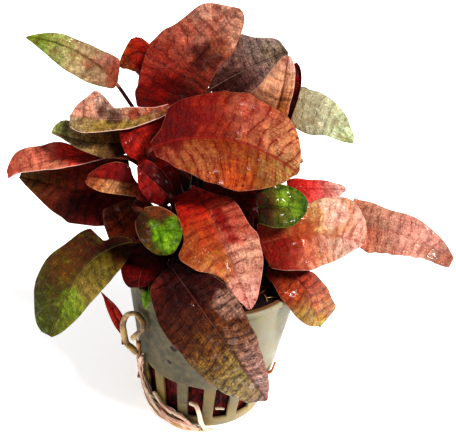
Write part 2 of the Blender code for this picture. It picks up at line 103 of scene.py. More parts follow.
# Leaves
BLADE_THICKNESS = 0.36
ROW_LENGTH = 0.6
FEWEST_ROWS = 14
MOST_ROWS = 96
LEAST_ROW_WIDTH = 0.3
COLUMNS = 33
MARGIN_ROWS = 121
MARGIN_STEPS = 160
MARGIN_SOFTENING = (0.1, 0.22, 0.36, 0.22, 0.1)
OUTLINE_STEPS = 4
CROSS_VEIN_PITCH = 2.8
CROSS_VEIN_SLANT = 0.22
NET_PITCH = 1.05
LENGTHWISE_VEINS = 3
CHANNEL_DEPTH = 0.22
CHANNEL_REACH = 0.55
MIDRIB_POINTS = 16
MIDRIB_SHARE = 0.75
STALK_POINTS = 18
STALK_SIDES = 14
STALK_DEPTH = 1.6
UV_SPAN = 100.0
WANDER_WAVES = 5

# Colours
PALETTE = {
    "night": "1a0404", "night_maroon": "2c0505", "maroon": "3e0707", "oxblood": "560909",
    "blood": "7c0e0b", "dark_red": "921510", "red": "ae271a", "scarlet": "c0331c", "hot_red": "cf3f39",
    "brick": "8c3424", "rust": "963d18", "burnt": "a94f1b", "orange": "c06a30", "amber": "ae7430",
    "gold": "c4963e", "tan_orange": "b4703e", "tan": "bc8e66", "clay": "b2604a", "rose": "c66c5a",
    "rose_brown": "8e4432", "salmon": "cc8468", "pink": "d0988a", "pale_pink": "e6beb4",
    "hot_pink": "dd6c66", "grey_pink": "9c7666", "pale_grey": "b8a39a", "plum": "5e2a24",
    "plum_grey": "96675a", "taupe": "a08a68", "khaki": "9c823e", "mist": "bab496", "pale_green": "c6d2a6",
    "sage": "8a9a50", "brown": "4a1c0c", "olive_brown": "6a3e10", "olive_dark": "403c0e",
    "olive": "6c621c", "olive_tan": "9a7c48", "moss": "4c560e", "leaf_green": "6a7c10",
    "bright_green": "668a0c", "lime": "8eac2c", "deep_green": "1c3c0a", "pale_olive": "84703a",
    "tan_brown": "b57851", "grey_tan": "b9a290", "rust_brown": "7d3618", "tan_pink": "bb8c76",
    "bronze": "884c20", "golden_brown": "803e14", "dark_gold": "7b5017", "cocoa": "865038",
    "peach": "e0ae8c", "apricot": "e89c5c", "plastic_clean": "908b78", "plastic_shade_and_algae": "34331a",
    "medium_dark": "160404", "medium_red": "7c1610", "root_pale": "f2dcc0", "root_tan": "c49a5c",
    "root_pink": "e0b09c", "runner_tan": "c8a868", "runner_brown": "6e4820",
}

# Leaf outlines in the photograph, in pixels, closed round the parts that other leaves hide
OUTLINES = {
    "leaf_far_left_slender": [
        (25.7, 37.4), (31, 35.5), (38.5, 34), (47, 32.8), (55.5, 33), (65, 34.5), (74.5, 38.5), (83, 42),
        (92, 45.5), (99, 49), (108, 53), (115, 57), (119.5, 60), (119.5, 68), (118.5, 76), (117, 84),
        (113, 88.8), (109, 88.3), (100, 86), (92, 83.5), (83, 80.3), (74.5, 75.5), (66, 70), (57.5, 63.5),
        (49, 57), (40.5, 50), (33, 43.5)],
    "leaf_back_left_scarlet": [
        (120, 68), (120, 61.5), (121.7, 56), (127, 45.5), (130, 40), (133.5, 37.5), (138.5, 37),
        (143, 38.5), (147, 42), (150.5, 45), (157, 50), (162, 62), (156, 76), (146, 86), (140, 82),
        (139, 75.5), (134.5, 72), (129, 69), (124, 69)],
    "leaf_back_tall": [
        (138, 112), (136.5, 107), (136, 101), (135.3, 94.5), (136, 89), (138.5, 84), (139, 76), (143, 60),
        (149.5, 45), (156, 39), (161, 33), (167, 28.5), (170, 28), (175.5, 24), (184, 17), (190.5, 11.5),
        (196, 7.5), (202, 4), (212, 3), (223, 5), (234.5, 7), (242, 9.5), (245, 15), (244, 23),
        (242, 30.5), (239, 38), (234.5, 49.5), (227, 60), (221, 64), (213, 78), (203, 96), (190, 110),
        (170, 117), (150, 118)],
    "leaf_back_purple": [
        (211, 62), (218, 54), (228, 44), (236, 36), (242, 34), (248, 36), (255.5, 37.5), (263, 37),
        (271, 37.5), (276.5, 38.5), (282, 43), (286, 49.5), (288, 57), (284, 76), (270, 96), (255, 106),
        (235, 108), (215, 104), (200, 98), (200, 91), (202.5, 84), (207, 75), (211, 67)],
    "leaf_back_right_folded": [
        (289.5, 55.5), (282, 57.5), (275.5, 65), (269, 73.5), (262, 82), (256.5, 88), (249.5, 93),
        (254, 102), (266, 112), (280, 119), (287, 117), (290, 105), (293, 93), (294.8, 82), (295.3, 70),
        (293, 61)],
    "leaf_back_right_sliver": [
        (293, 58), (297, 63), (300.5, 68), (301.5, 76), (301, 86), (298.5, 95.5), (296, 108), (294, 119),
        (291, 126), (283, 120), (286, 107), (289, 94), (291, 80), (290.5, 68)],
    "leaf_back_right_pale": [
        (298, 84), (302, 84), (309, 88.7), (318.5, 91.5), (326, 95.5), (334, 101), (341.5, 109),
        (347, 116.5), (351, 126), (354, 135.5), (354.7, 142), (353.5, 143.7), (345, 142.2),
        (335.5, 139.3), (326, 136.5), (316.5, 135), (307, 133.5), (299.5, 130.7), (294.5, 127),
        (291, 121), (293.5, 112), (297.5, 100), (300, 90)],
    "leaf_left_trough": [
        (96, 91), (102.5, 95), (110, 102.5), (114, 107.5), (125, 107), (140, 107), (152.5, 107.5),
        (160, 106), (172.5, 102.5), (176, 102), (171.5, 109), (164.5, 116), (153, 121), (140, 125),
        (125, 129), (112.5, 131), (100, 132.5), (85, 133), (80, 132.5), (72.5, 129), (68, 126),
        (69.5, 120), (72.5, 111), (77.5, 104), (86, 97.5), (92.5, 92.5)],
    "leaf_left_olive": [
        (51, 132), (58, 122.5), (67, 120.5), (80, 124), (100, 127), (122, 126), (138, 127), (140, 142),
        (130, 151), (115, 158), (100, 157), (85, 152), (70, 144), (60, 137.5)],
    "leaf_left_pink": [
        (7, 179), (7.5, 167.5), (12.5, 156), (17.5, 151), (27.5, 147.5), (40, 145), (50, 142.5),
        (62.5, 142.5), (72.5, 145), (80, 148), (87.5, 151), (100, 154), (112.5, 154.5), (121, 154),
        (115, 157), (107.5, 158), (95, 161), (82.5, 164.5), (67.5, 167.5), (55, 170), (40, 171),
        (25, 172), (15, 175)],
    "leaf_left_dark": [
        (17, 173), (23, 182.5), (32.5, 192.5), (42.5, 202.5), (52.5, 211), (62.5, 217.5), (67.5, 222.5),
        (77.5, 224), (90, 225.5), (99, 226), (112, 224), (126, 214), (140, 206), (140, 192), (131, 178),
        (129.5, 168), (134, 163), (137, 152), (120, 151), (100, 155), (85, 160), (50, 163), (28, 168)],
    "leaf_left_amber": [
        (83, 180.5), (88, 175), (95, 169), (105, 164), (117, 161.5), (127, 164), (131, 168), (133, 176),
        (138, 184), (142, 191), (137, 196.5), (125, 195.5), (112, 194), (100, 192), (90, 187)],
    "leaf_left_inner": [
        (120, 126), (132, 118), (146, 109), (161, 105), (172, 112), (174, 140), (178, 165), (181, 190),
        (180, 206), (164, 207), (150, 202), (136, 199), (138, 188), (139, 174), (137, 160), (130, 158),
        (122, 146)],
    "leaf_left_low": [
        (104, 224), (103, 210), (112, 198), (126, 190), (140, 186), (158, 194), (160, 212), (146, 224),
        (139, 238), (132, 246), (120, 247), (110, 240), (107, 232)],
    "leaf_middle_curled": [
        (137, 167), (138.5, 161), (143, 159), (150, 161), (158, 166), (165, 173), (171.5, 183),
        (174, 192), (174, 203), (168, 207), (157, 204), (149, 200), (142, 193), (138, 184), (137.5, 175)],
    "leaf_left_shaded": [
        (120, 256), (121.5, 270), (124, 281), (129, 287.5), (137, 291), (146, 290), (153, 284),
        (161, 275), (167, 262), (160, 252), (140, 245), (126, 248)],
    "leaf_front_small_round": [
        (135, 217.5), (140, 210), (150, 206), (160, 206), (172.5, 212.5), (180, 220), (182.5, 230),
        (181, 240), (177.5, 247.5), (172.5, 254), (162.5, 256), (155, 254), (147.5, 249), (140, 240),
        (136, 230)],
    "leaf_front_left_green": [
        (90, 228), (95, 227), (97.5, 229), (98.5, 236), (101, 240), (107, 240.5), (112, 237), (120, 236),
        (131, 239), (133, 246), (130, 254), (122, 267), (112, 279), (103, 289), (92.5, 301),
        (82.5, 312.5), (75, 320), (65, 330), (57.5, 335), (51, 337), (44, 334), (38, 327), (35, 316),
        (34, 300), (34, 287.5), (36, 277.5), (40, 267.5), (46, 260), (55, 252), (65, 244), (75, 237),
        (82.5, 231.5)],
    "leaf_top_broad": [
        (168, 107), (171, 106), (179, 100), (190.5, 96.5), (202, 94.2), (211.5, 92), (222, 91),
        (225, 89.5), (229.5, 92.5), (242, 92), (251.5, 92.5), (254.5, 96.5), (265, 103), (275.5, 109),
        (286, 115.5), (293, 124), (297.5, 133.5), (300.3, 145), (301, 156.5), (299.5, 168), (300, 175),
        (296.5, 175.5), (292, 176), (287, 181.5), (277, 185.5), (263, 189), (250, 190.5), (238, 191),
        (227, 188.5), (219, 185), (206, 181.5), (196, 176), (185, 171), (175.5, 168), (167.5, 161.5),
        (158, 157.5), (148, 152), (149, 146), (152, 140), (157, 134), (162, 127), (165, 117)],
    "leaf_front_red": [
        (177, 191.5), (182.5, 189), (188.5, 190.5), (196, 187), (205, 190), (219, 195), (229, 197.5),
        (237, 205), (244, 214.5), (250, 226), (258.5, 235), (262, 251), (263.5, 261), (262.5, 274),
        (260, 287), (256.5, 301), (250, 309.5), (243, 305), (236, 298.5), (229, 289.5), (226, 283),
        (217, 276), (207.5, 272.5), (198.5, 271.5), (191, 267), (182.5, 262.5), (178, 257.5), (180, 251),
        (183.5, 243), (182.5, 235), (179, 223.5), (176, 210), (174, 200)],
    "leaf_front_hanging": [
        (151, 298.5), (150.7, 288), (152.5, 279), (157.5, 273.5), (164, 272), (169, 265), (180, 264),
        (199.5, 271), (212.5, 275.5), (228, 285.5), (235.5, 296), (243, 308.5), (250.5, 324),
        (257, 336.5), (258.5, 347), (263.5, 357), (267, 370), (269.3, 382.5), (268.6, 393),
        (266.8, 400.5), (258.5, 401), (248, 403), (238, 399), (228, 395.5), (217.5, 389), (205, 380),
        (194.5, 370), (184.5, 359.5), (178, 350), (173, 346), (172, 342), (166.5, 337), (159, 324),
        (154, 311)],
    "leaf_right_small_green": [
        (243, 204), (250, 196), (261, 188), (274, 184), (284, 184.5), (296, 188.5), (305, 196),
        (309.5, 205), (306, 213), (301, 219), (294, 225.5), (284, 227.5), (271, 227), (259, 223),
        (249, 218), (243, 210)],
    "leaf_right_back_pink": [
        (273, 184), (281, 180.5), (296, 178.5), (308, 179), (323, 180.5), (333, 182.5), (342, 185),
        (347, 189.5), (342, 194), (335, 200), (310, 205), (285, 202), (277, 196)],
    "leaf_right_broad": [
        (256.5, 228), (264, 216), (280, 208), (308, 204), (317, 200), (328, 197.5), (339.5, 196.5),
        (348.5, 198.5), (357.5, 205.5), (362.5, 214.5), (365.7, 221.5), (367.3, 230.5), (366.5, 237),
        (363.5, 244), (360, 247.5), (353, 251), (344, 256.5), (332.5, 262.5), (323.5, 265.5),
        (314.5, 269), (305.5, 270.7), (294, 270.7), (282.5, 270), (273.5, 269), (266.5, 268),
        (264.5, 260), (260, 248.5), (257.5, 237)],
    "leaf_far_right": [
        (346, 205), (352, 197.5), (360, 200), (373.5, 203), (387, 208.5), (401, 212.5), (410, 215.5),
        (421.5, 221.5), (432.5, 230.5), (442, 239.5), (448.5, 248.5), (453.5, 257.5), (455, 264),
        (452, 267), (446, 267.5), (437, 264.5), (431, 261), (425, 259), (421.5, 257.5), (415, 258),
        (410, 256.5), (405, 256.5), (398.5, 255.5), (392, 255.5), (387.5, 253.5), (380, 253.5),
        (376, 252), (370, 253), (365.5, 252), (360, 247.5), (350, 242), (345, 225)],
    "leaf_front_right_amber": [
        (266, 276), (268, 268), (276, 262), (292, 262), (305.5, 270), (314.5, 273.5), (323.5, 282.5),
        (329.5, 289.5), (332.5, 298.5), (336, 305.5), (336, 310), (331.5, 314.5), (327, 319),
        (323.5, 323.5), (317, 326.5), (310, 326), (304, 323.5), (296.5, 317), (290.5, 310), (285, 303),
        (278, 294), (273.5, 285), (269, 279)],
}


def linear(name):
    """A palette colour as linear red, green, blue and alpha."""
    text = PALETTE[name]
    parts = [int(text[k:k + 2], 16) / 255 for k in (0, 2, 4)]
    return [part / 12.92 if part <= 0.04045 else ((part + 0.055) / 1.055) ** 2.4 for part in parts] + [1.0]


# Shader nodes

class Graph:
    """The shader nodes of one material, added one expression at a time."""

    def __init__(self, name):
        self.material = bpy.data.materials.new(name)
        self.material.use_nodes = True
        self.tree = self.material.node_tree
        self.shader = self.tree.nodes["Principled BSDF"]
        self.output = self.tree.nodes["Material Output"]

    def feed(self, socket, value):
        """Links an output to a socket, or sets the socket's own value."""
        if isinstance(value, bpy.types.NodeSocket):
            self.tree.links.new(value, socket)
        else:
            socket.default_value = value

    def node(self, kind, inputs=(), **settings):
        made = self.tree.nodes.new(kind)
        for key, value in settings.items():
            setattr(made, key, value)
        for socket, value in dict(inputs).items():
            self.feed(made.inputs[socket], value)
        return made

    def math(self, operation, a, b=0.0):
        return self.node("ShaderNodeMath", {0: a, 1: b}, operation=operation).outputs[0]

    def times(self, a, b):
        return self.math("MULTIPLY", a, b)

    def plus(self, a, b):
        return self.math("ADD", a, b)

    def minus(self, a, b):
        return self.math("SUBTRACT", a, b)

    def over(self, a, b):
        return self.math("DIVIDE", a, b)

    def vector_math(self, operation, a, b):
        return self.node("ShaderNodeVectorMath", {0: a, 1: b}, operation=operation)

    def split(self, vector):
        """The three numbers of a vector."""
        return self.node("ShaderNodeSeparateXYZ", {0: vector}).outputs

    def smooth(self, value, low, high, start=0.0, end=1.0):
        """A smooth step from start, at low, to end, at high."""
        return self.node("ShaderNodeMapRange", {0: value, 1: low, 2: high, 3: start, 4: end},
                         interpolation_type="SMOOTHSTEP").outputs[0]

    def mix(self, factor, a, b):
        """Colour a where the factor is 0 and b where it is 1."""
        return self.node("ShaderNodeMix", {0: factor, 6: a, 7: b}, data_type="RGBA").outputs[2]

    def stain(self, colour, factor, name):
        """A colour with a palette colour over it, by the factor."""
        return self.mix(factor, colour, linear(name))

    def ramp(self, factor, names):
        """Palette colours spread evenly over the factor from 0 to 1."""
        made = self.node("ShaderNodeValToRGB", {0: factor})
        stops = made.color_ramp.elements
        names = names.split()
        for k, name in enumerate(names):
            place = k / (len(names) - 1)
            stop = stops[k] if k < 2 else stops.new(place)
            stop.position = place
            stop.color = linear(name)
        made.color_ramp.interpolation = "B_SPLINE" if len(names) > 3 else "EASE"
        return made.outputs[0]

    def lines(self, position, pitch, thin, thick):
        """1 on lines a pitch apart, falling to 0 between the two distances from their middles."""
        turns = self.math("PINGPONG", self.over(position, pitch), 0.5)
        return self.smooth(self.times(turns, pitch), thin, thick, 1.0, 0.0)

    def object_place(self):
        return self.node("ShaderNodeTexCoord").outputs["Object"]

    def noise(self, place, size, detail=2.0, roughness=0.5):
        """Noise from 0 to 1 with lumps of about the given size in millimetres."""
        return self.node("ShaderNodeTexNoise", {"Vector": place, "Scale": 1 / (size * MM), "Detail": detail,
                                                "Roughness": roughness}).outputs[0]

    def bump(self, height, depth, strength):
        """A normal from a height of 0 to 1 that stands for the depth in millimetres."""
        return self.node("ShaderNodeBump", {"Height": height, "Distance": depth * MM,
                                            "Strength": strength}).outputs[0]

    def set(self, **values):
        """Feeds the shader's sockets, named with underscores for blanks."""
        for socket, value in values.items():
            self.feed(self.shader.inputs[socket.replace("_", " ")], value)

    def glow(self, colour, share):
        """Lets some light through from behind."""
        behind = self.node("ShaderNodeBsdfTranslucent", {"Color": colour})
        both = self.node("ShaderNodeMixShader", {0: share, 1: self.shader.outputs[0], 2: behind.outputs[0]})
        self.tree.links.new(both.outputs[0], self.output.inputs[0])


def leaf_material(name, look):
    """A leaf's colours run from base to tip in two halves, under patches, mottles, veins and a pale rim."""
    g = Graph(name)
    blade = g.split(g.node("ShaderNodeUVMap", uv_map="Blade").outputs[0])
    veins = g.split(g.node("ShaderNodeUVMap", uv_map="Veins").outputs[0])
    along = blade[0]
    across = g.minus(g.times(blade[1], 2.0), 1.0)
    edge = g.math("ABSOLUTE", across)
    run = g.times(veins[0], UV_SPAN)
    reach = g.math("ABSOLUTE", g.times(veins[1], UV_SPAN))
    from_margin = g.minus(g.over(reach, g.math("MAXIMUM", edge, 0.05)), reach)
    place = g.object_place()

    # Two halves, blotches and patches
    drift = g.minus(g.noise(place, 5.0, 4.0, 0.6), 0.5)
    place_along = g.plus(along, g.times(drift, 0.4))
    side = g.smooth(g.plus(across, g.times(drift, 0.4)), -0.12, 0.12)
    colour = g.mix(side, g.ramp(place_along, look["left"]), g.ramp(place_along, look["right"]))
    blotch_name, blotch_share, blotch_size = look["blotch"]
    blotches = g.smooth(g.noise(place, blotch_size, 5.0, 0.7), 0.5, 0.62, 0.0, blotch_share)
    colour = g.stain(colour, blotches, blotch_name)
    patch = g.node("ShaderNodeAttribute", attribute_name="Patches")
    colour = g.mix(patch.outputs["Alpha"], colour, patch.outputs["Color"])

    # Mottles and uneven lightness
    mottle = g.noise(place, 1.5, 5.0, 0.72)
    colour = g.stain(colour, g.smooth(mottle, 0.36, 0.5, look["mottle"], 0.0), look["vein"])
    grain = g.noise(place, 0.45, 2.0, 0.7)
    light = g.smooth(mottle, 0.5, 0.68, 1.0, 1.0 + look["mottle"])
    light = g.times(light, g.smooth(grain, 0.3, 0.7, 1.0 - look["grain"], 1.0 + look["grain"]))
    light = g.times(light, g.smooth(g.noise(place, 4.0, 3.0), 0.3, 0.7, 0.82, 1.18))
    colour = g.vector_math("MULTIPLY", colour, light).outputs[0]

    # The net of small veins and the veins across
    shake = g.times(g.minus(g.noise(place, 2.6, 4.0, 0.6), 0.5), 2.0)
    shaky_run = g.plus(run, shake)
    shaky_reach = g.minus(reach, shake)
    broken = g.smooth(g.noise(place, 1.6, 3.0), 0.4, 0.58, 0.1, 1.0)
    net = g.math("MAXIMUM", g.lines(shaky_run, NET_PITCH, 0.02, 0.22),
                 g.lines(shaky_reach, NET_PITCH, 0.02, 0.18))
    net = g.times(net, g.smooth(g.noise(place, 2.4, 2.0), 0.4, 0.56))
    colour = g.stain(colour, g.times(net, look["net"]), look["vein"])
    # Painted shade in the grooves along the veins across, and painted light on the puckers between them
    cell = g.lines(shaky_run, CROSS_VEIN_PITCH, 0.2, 1.3)
    cell = g.minus(1.06, g.times(g.times(cell, broken), 0.16))
    colour = g.vector_math("MULTIPLY", colour, cell).outputs[0]
    cross = g.times(g.lines(shaky_run, CROSS_VEIN_PITCH, 0.05, 0.3), broken)
    beside = g.times(g.lines(shaky_run, CROSS_VEIN_PITCH, 0.1, 1.0), g.smooth(mottle, 0.4, 0.6, 0.45, 0.0))
    cross = g.math("MAXIMUM", cross, beside)
    colour = g.stain(colour, g.times(cross, look["cross"]), look["vein"])

    # The lengthwise veins and the midrib in its groove
    wavering = g.plus(edge, g.times(drift, 0.12))
    bands = g.math("PINGPONG", g.times(wavering, float(LENGTHWISE_VEINS)), 0.5)
    lengthwise = g.times(g.smooth(bands, 0.0, 0.05, 1.0, 0.0), g.smooth(edge, 0.15, 0.3))
    lengthwise = g.times(lengthwise, g.smooth(edge, 0.74, 0.86, 1.0, 0.0))
    lengthwise = g.times(lengthwise, broken)
    colour = g.stain(colour, g.times(lengthwise, look["long"]), look["rib"])
    groove = g.times(g.smooth(reach, 0.2, 0.7, 1.0, 0.0), look["groove"])
    colour = g.stain(colour, groove, look["vein"])
    rib = g.times(g.smooth(reach, 0.06, 0.22, 1.0, 0.0), look["groove"])
    colour = g.stain(colour, rib, look["rib"])

    # The margin and the stalk
    rim_name, rim_share = look["rim"]
    colour = g.stain(colour, g.smooth(from_margin, 0.1, 0.3, rim_share, 0.0), rim_name)
    # Painted shade: every stalk is flecked with near-black maroon, for the deep shade among the leaf bases
    stalk_with_painted_shade = g.mix(g.smooth(grain, 0.3, 0.7), linear("night_maroon"), linear(look["stalk"]))
    colour = g.mix(g.smooth(along, -0.12, -0.01, 1.0, 0.0), colour, stalk_with_painted_shade)

    # Relief and wet gloss
    height = g.minus(mottle, g.times(g.math("MAXIMUM", cross, g.times(net, 0.5)), 0.4))
    height = g.plus(height, g.times(grain, 0.3))
    wet_patch = g.smooth(g.noise(place, 1.8, 3.0), 0.55, 0.64, 0.0, look["wet"])
    g.set(Base_Color=colour, Normal=g.bump(height, 0.5, look["relief"]),
          Roughness=g.smooth(mottle, 0.35, 0.65, look["rough"] - 0.1, look["rough"] + 0.12),
          Coat_Weight=wet_patch, Coat_Roughness=0.14, Specular_IOR_Level=0.18,
          Coat_Normal=g.bump(g.noise(place, 0.9, 3.0), 0.15, 0.8))
    g.glow(colour, look["glow"])
    return g.material


# The view

def view_directions():
    """Right, up, back and eye of the photograph's view, above the front and rolled a little."""
    elevation = math.radians(CAMERA_ELEVATION)
    roll = math.radians(CAMERA_ROLL)
    back = np.array([0, -math.cos(elevation), math.sin(elevation)])
    level_up = np.array([0, math.sin(elevation), math.cos(elevation)])
    right = math.cos(roll) * np.array([1.0, 0, 0]) + math.sin(roll) * level_up
    up = -math.sin(roll) * np.array([1.0, 0, 0]) + math.cos(roll) * level_up
    return right, up, back, np.array(CAMERA_TARGET) + CAMERA_DISTANCE * back


RIGHT, UP, BACK, EYE = view_directions()


def picture_spots(points):
    """Where points, in millimetres, come in the photograph, in pixels."""
    offset = points - EYE
    depth = -(offset @ BACK)
    return (PICTURE_CENTRE[0] + FOCAL_PIXELS * (offset @ RIGHT) / depth,
            PICTURE_CENTRE[1] - FOCAL_PIXELS * (offset @ UP) / depth)


def inside(x, y, outline):
    """Whether picture spots lie inside a closed outline."""
    found = np.zeros(x.shape, bool)
    for (x1, y1), (x2, y2) in zip(outline, outline[1:] + outline[:1]):
        crosses = (y1 > y) != (y2 > y)
        rise = y2 - y1 if y2 != y1 else 1e-9
        found ^= crosses & (x < x1 + (y - y1) * (x2 - x1) / rise)
    return found


def curve_point(before, start, end, beyond, f):
    """The point a share f of the way from start to end on the smooth curve through four points."""
    return 0.5 * (2 * start + (end - before) * f + (2 * before - 5 * start + 4 * end - beyond) * f ** 2
                  + (3 * start - before - 3 * end + beyond) * f ** 3)


def rounded(outline):
    """The closed smooth curve through an outline's points, as a finer outline."""
    knots = np.array(outline)
    before, after, beyond = (np.roll(knots, turn, axis=0) for turn in (1, -1, -2))
    steps = [curve_point(before, knots, after, beyond, f) for f in np.arange(OUTLINE_STEPS) / OUTLINE_STEPS]
    return [tuple(point) for point in np.stack(steps, axis=1).reshape(-1, 2)]


# Leaf geometry

def unit(vector):
    """Vectors scaled to length 1."""
    return vector / np.linalg.norm(vector, axis=-1, keepdims=True)


def wander(x, y, seed):
    """A smooth random height of about -1 to 1; its lumps are about one unit of x and y across."""
    draw = np.random.default_rng(seed)
    total = np.zeros(np.broadcast(x, y).shape)
    for _ in range(WANDER_WAVES):
        angle = draw.uniform(0, 2 * math.pi)
        pace = draw.uniform(1.6, 3.4)
        place = pace * (math.cos(angle) * x + math.sin(angle) * y)
        total = total + np.sin(place + draw.uniform(0, 2 * math.pi))
    return total / WANDER_WAVES * 1.6


def arc_through(start, middle, end, t):
    """Points of the parabola from start through middle to end."""
    t = np.asarray(t)[..., None]
    control = 2 * middle - (start + end) / 2
    return (1 - t) ** 2 * start + 2 * t * (1 - t) * control + t ** 2 * end


def half_width(t, widths, ends):
    """Half widths at t, read smoothly from widths at 10, 30, 50, 70 and 90%, closed off at both ends."""
    widths = np.array(widths, float)
    slope = np.gradient(widths)
    place = (np.clip(t, 0.1, 0.9) - 0.1) / 0.2
    k = np.minimum(place.astype(int), 3)
    f = place - k
    width = ((2 * f ** 3 - 3 * f ** 2 + 1) * widths[k] + (f ** 3 - 2 * f ** 2 + f) * slope[k]
             + (3 * f ** 2 - 2 * f ** 3) * widths[k + 1] + (f ** 3 - f ** 2) * slope[k + 1])
    start = 1 - (1 - np.minimum(t / 0.2, 1)) ** 2
    end = 1 - (1 - np.minimum((1 - t) / 0.25, 1)) ** 2
    return width * start ** ends[0] * end ** ends[1]


def bent_offset(distance, full, bend):
    """Run and rise at distances along a section that bends steadily over its full width."""
    start, end = np.radians(bend)
    steps = 12
    share = (np.arange(steps) + 0.5) / steps
    angles = start + (end - start) * (distance / np.maximum(full, 1e-6))[..., None] * share
    return np.cos(angles).mean(axis=-1) * distance, np.sin(angles).mean(axis=-1) * distance


class Leaf:
    """The shape of one leaf: a stalk, and a blade with a spine, bent halves and fine relief.

    Half widths stand at 10, 30, 50, 70 and 90% of the blade, left and right of the spine. The right
    ones are the same as the left ones where none are given.
    """

    def __init__(self, name, root, base, middle, tip, face, left, right=None, face_tip=None,
                 bend_left=(12, 0), bend_right=(12, 0), ends=(0.5, 0.6), ruffle=(0.0, 2.0, 0.0), stalk=0.8,
                 pull=0.35, wavy=0.35, puckers=0.28, edge_wave=0.25, widest=1.35):
        self.name = name
        self.outline = rounded(OUTLINES[name]) if name in OUTLINES else None
        points = (root, base, middle, tip)
        self.root, self.base, self.middle, self.tip = (np.array(point, float) for point in points)
        self.face = unit(np.array(face, float))
        self.face_tip = unit(np.array(face_tip or face, float))
        self.widths = {-1: left, 1: right or left}
        self.bends = {-1: bend_left, 1: bend_right}
        self.ends = ends
        self.ruffle = ruffle
        self.stalk = stalk
        self.pull = pull
        self.wavy = wavy
        self.puckers = puckers
        self.edge_wave = edge_wave
        self.widest = widest
        self.seed = sum(ord(letter) * (k + 3) for k, letter in enumerate(name))
        fine = self.spine(np.linspace(0, 1, 60))
        self.length = np.linalg.norm(np.diff(fine, axis=0), axis=1).sum()
        self.rows = np.linspace(0, 1, MARGIN_ROWS)
        self.margins = {hand: self.margin(hand) for hand in (-1, 1)}

    def spine(self, t):
        """Points of the midrib's line, from the blade's base at 0 to its tip at 1."""
        return arc_through(self.base, self.middle, self.tip, t)

    def frames(self, t):
        """Forward, side and normal directions at each t."""
        forward = unit(self.spine(t + 0.01) - self.spine(t - 0.01))
        blend = t[..., None]
        face = self.face * (1 - blend) + self.face_tip * blend
        side = unit(np.cross(forward, face))
        return forward, side, np.cross(side, forward)

    def section(self, t, hand, distance):
        """Run and rise of the blade's section at distances from the spine, for each row."""
        nominal = half_width(t, self.widths[hand], self.ends)
        if self.outline:
            nominal = np.maximum(nominal, max(self.widths[hand]))
        return bent_offset(distance, nominal[:, None] + 0 * distance, self.bends[hand])

    def margin(self, hand):
        """Half width of each row: where the blade meets its outline in the photograph, if it has one."""
        t = self.rows
        nominal = half_width(t, self.widths[hand], self.ends)
        if not self.outline:
            return nominal
        most = np.minimum(1.1 * self.widest * nominal + 2.0, self.widest * max(self.widths[hand]))
        share = np.linspace(0, 1, MARGIN_STEPS)
        distance = most[:, None] * share
        flat, rise = self.section(t, hand, distance)
        _, side, normal = self.frames(t)
        points = (self.spine(t)[:, None] + hand * flat[..., None] * side[:, None]
                  + rise[..., None] * normal[:, None])
        within = inside(*picture_spots(points), self.outline)
        reached = np.where(within.all(axis=1), len(share) - 1, np.argmin(within, axis=1))
        width = most * share[reached]
        padded = np.pad(width, len(MARGIN_SOFTENING) // 2, mode="edge")
        return np.convolve(padded, MARGIN_SOFTENING, mode="valid")

    def half(self, t, hand):
        """Half width on one side, with a slightly uneven margin."""
        width = np.interp(t, self.rows, self.margins[hand])
        width = width * (1 + 0.018 * wander(t * self.length / 3.5, 0 * t, self.seed + 7 * hand))
        return np.maximum(width, 0.02)

    def sheet(self, t, across):
        """Mid-sheet points for rows t and columns across, with the vein run and reach of each."""
        forward, side, normal = self.frames(t)
        rows = t[:, None]
        columns = across[None, :]
        hand = np.where(columns < 0, -1, 1)
        full = np.where(hand < 0, self.half(t, -1)[:, None], self.half(t, 1)[:, None])
        distance = np.abs(columns) * full
        low = self.section(t, -1, distance)
        high = self.section(t, 1, distance)
        flat = np.where(hand < 0, low[0], high[0])
        rise = np.where(hand < 0, low[1], high[1])
        size, count, phase = self.ruffle
        swing = np.sin(2 * math.pi * (count * rows + phase + 0.25 * np.sign(columns)))
        fade = np.minimum(1.0, 4 * rows) * np.minimum(1.0, 5 * (1 - rows))
        rise = rise + size * swing * columns ** 2 * fade
        reach = np.sign(columns) * distance
        run = rows * self.length - CROSS_VEIN_SLANT * distance
        run = run + wander(rows * self.length / 6, reach / 4, self.seed)
        rise = rise + self.relief(rows, columns, run, reach, distance) * fade
        points = (self.spine(t)[:, None, :] + (np.sign(columns) * flat)[..., None] * side[:, None, :]
                  + rise[..., None] * normal[:, None, :])
        return points, run, reach, forward

    def relief(self, rows, columns, run, reach, distance):
        """Height over the smooth blade: waves, puckers between the veins, and the midrib's channel."""
        edge = np.abs(columns)
        waves = self.wavy * wander(rows * self.length / 7, reach / 5, self.seed + 1)
        margin_waves = wander(rows * self.length / 3.2, np.sign(columns) * 2.0, self.seed + 2)
        cell = np.abs(np.sin(math.pi * run / CROSS_VEIN_PITCH)) ** 0.7
        cell = cell * np.abs(np.sin(math.pi * LENGTHWISE_VEINS * edge)) ** 0.5
        uneven = 0.6 + 0.4 * wander(run / 3, reach / 3, self.seed + 3)
        puckers = self.puckers * cell * uneven * (1 - edge ** 8)
        channel = -CHANNEL_DEPTH * np.exp(-(distance / CHANNEL_REACH) ** 2)
        margin = self.edge_wave * edge ** 4 * margin_waves
        return waves * np.minimum(1, distance / 1.5 + 0.35) + margin + puckers + channel

    def stalk_path(self, count):
        """Points up the stalk, which leaves the root upright and bends into line with the blade."""
        t = np.linspace(0, 1, count)[:, None]
        start = unit(2 * self.middle - (self.base + self.tip) / 2 - self.base)
        length = np.linalg.norm(self.base - self.root)
        low = self.root + np.array([0, 0, 0.35 * length])
        high = self.base - start * length * self.pull
        return ((1 - t) ** 3 * self.root + 3 * t * (1 - t) ** 2 * low + 3 * t ** 2 * (1 - t) * high
                + t ** 3 * self.base)


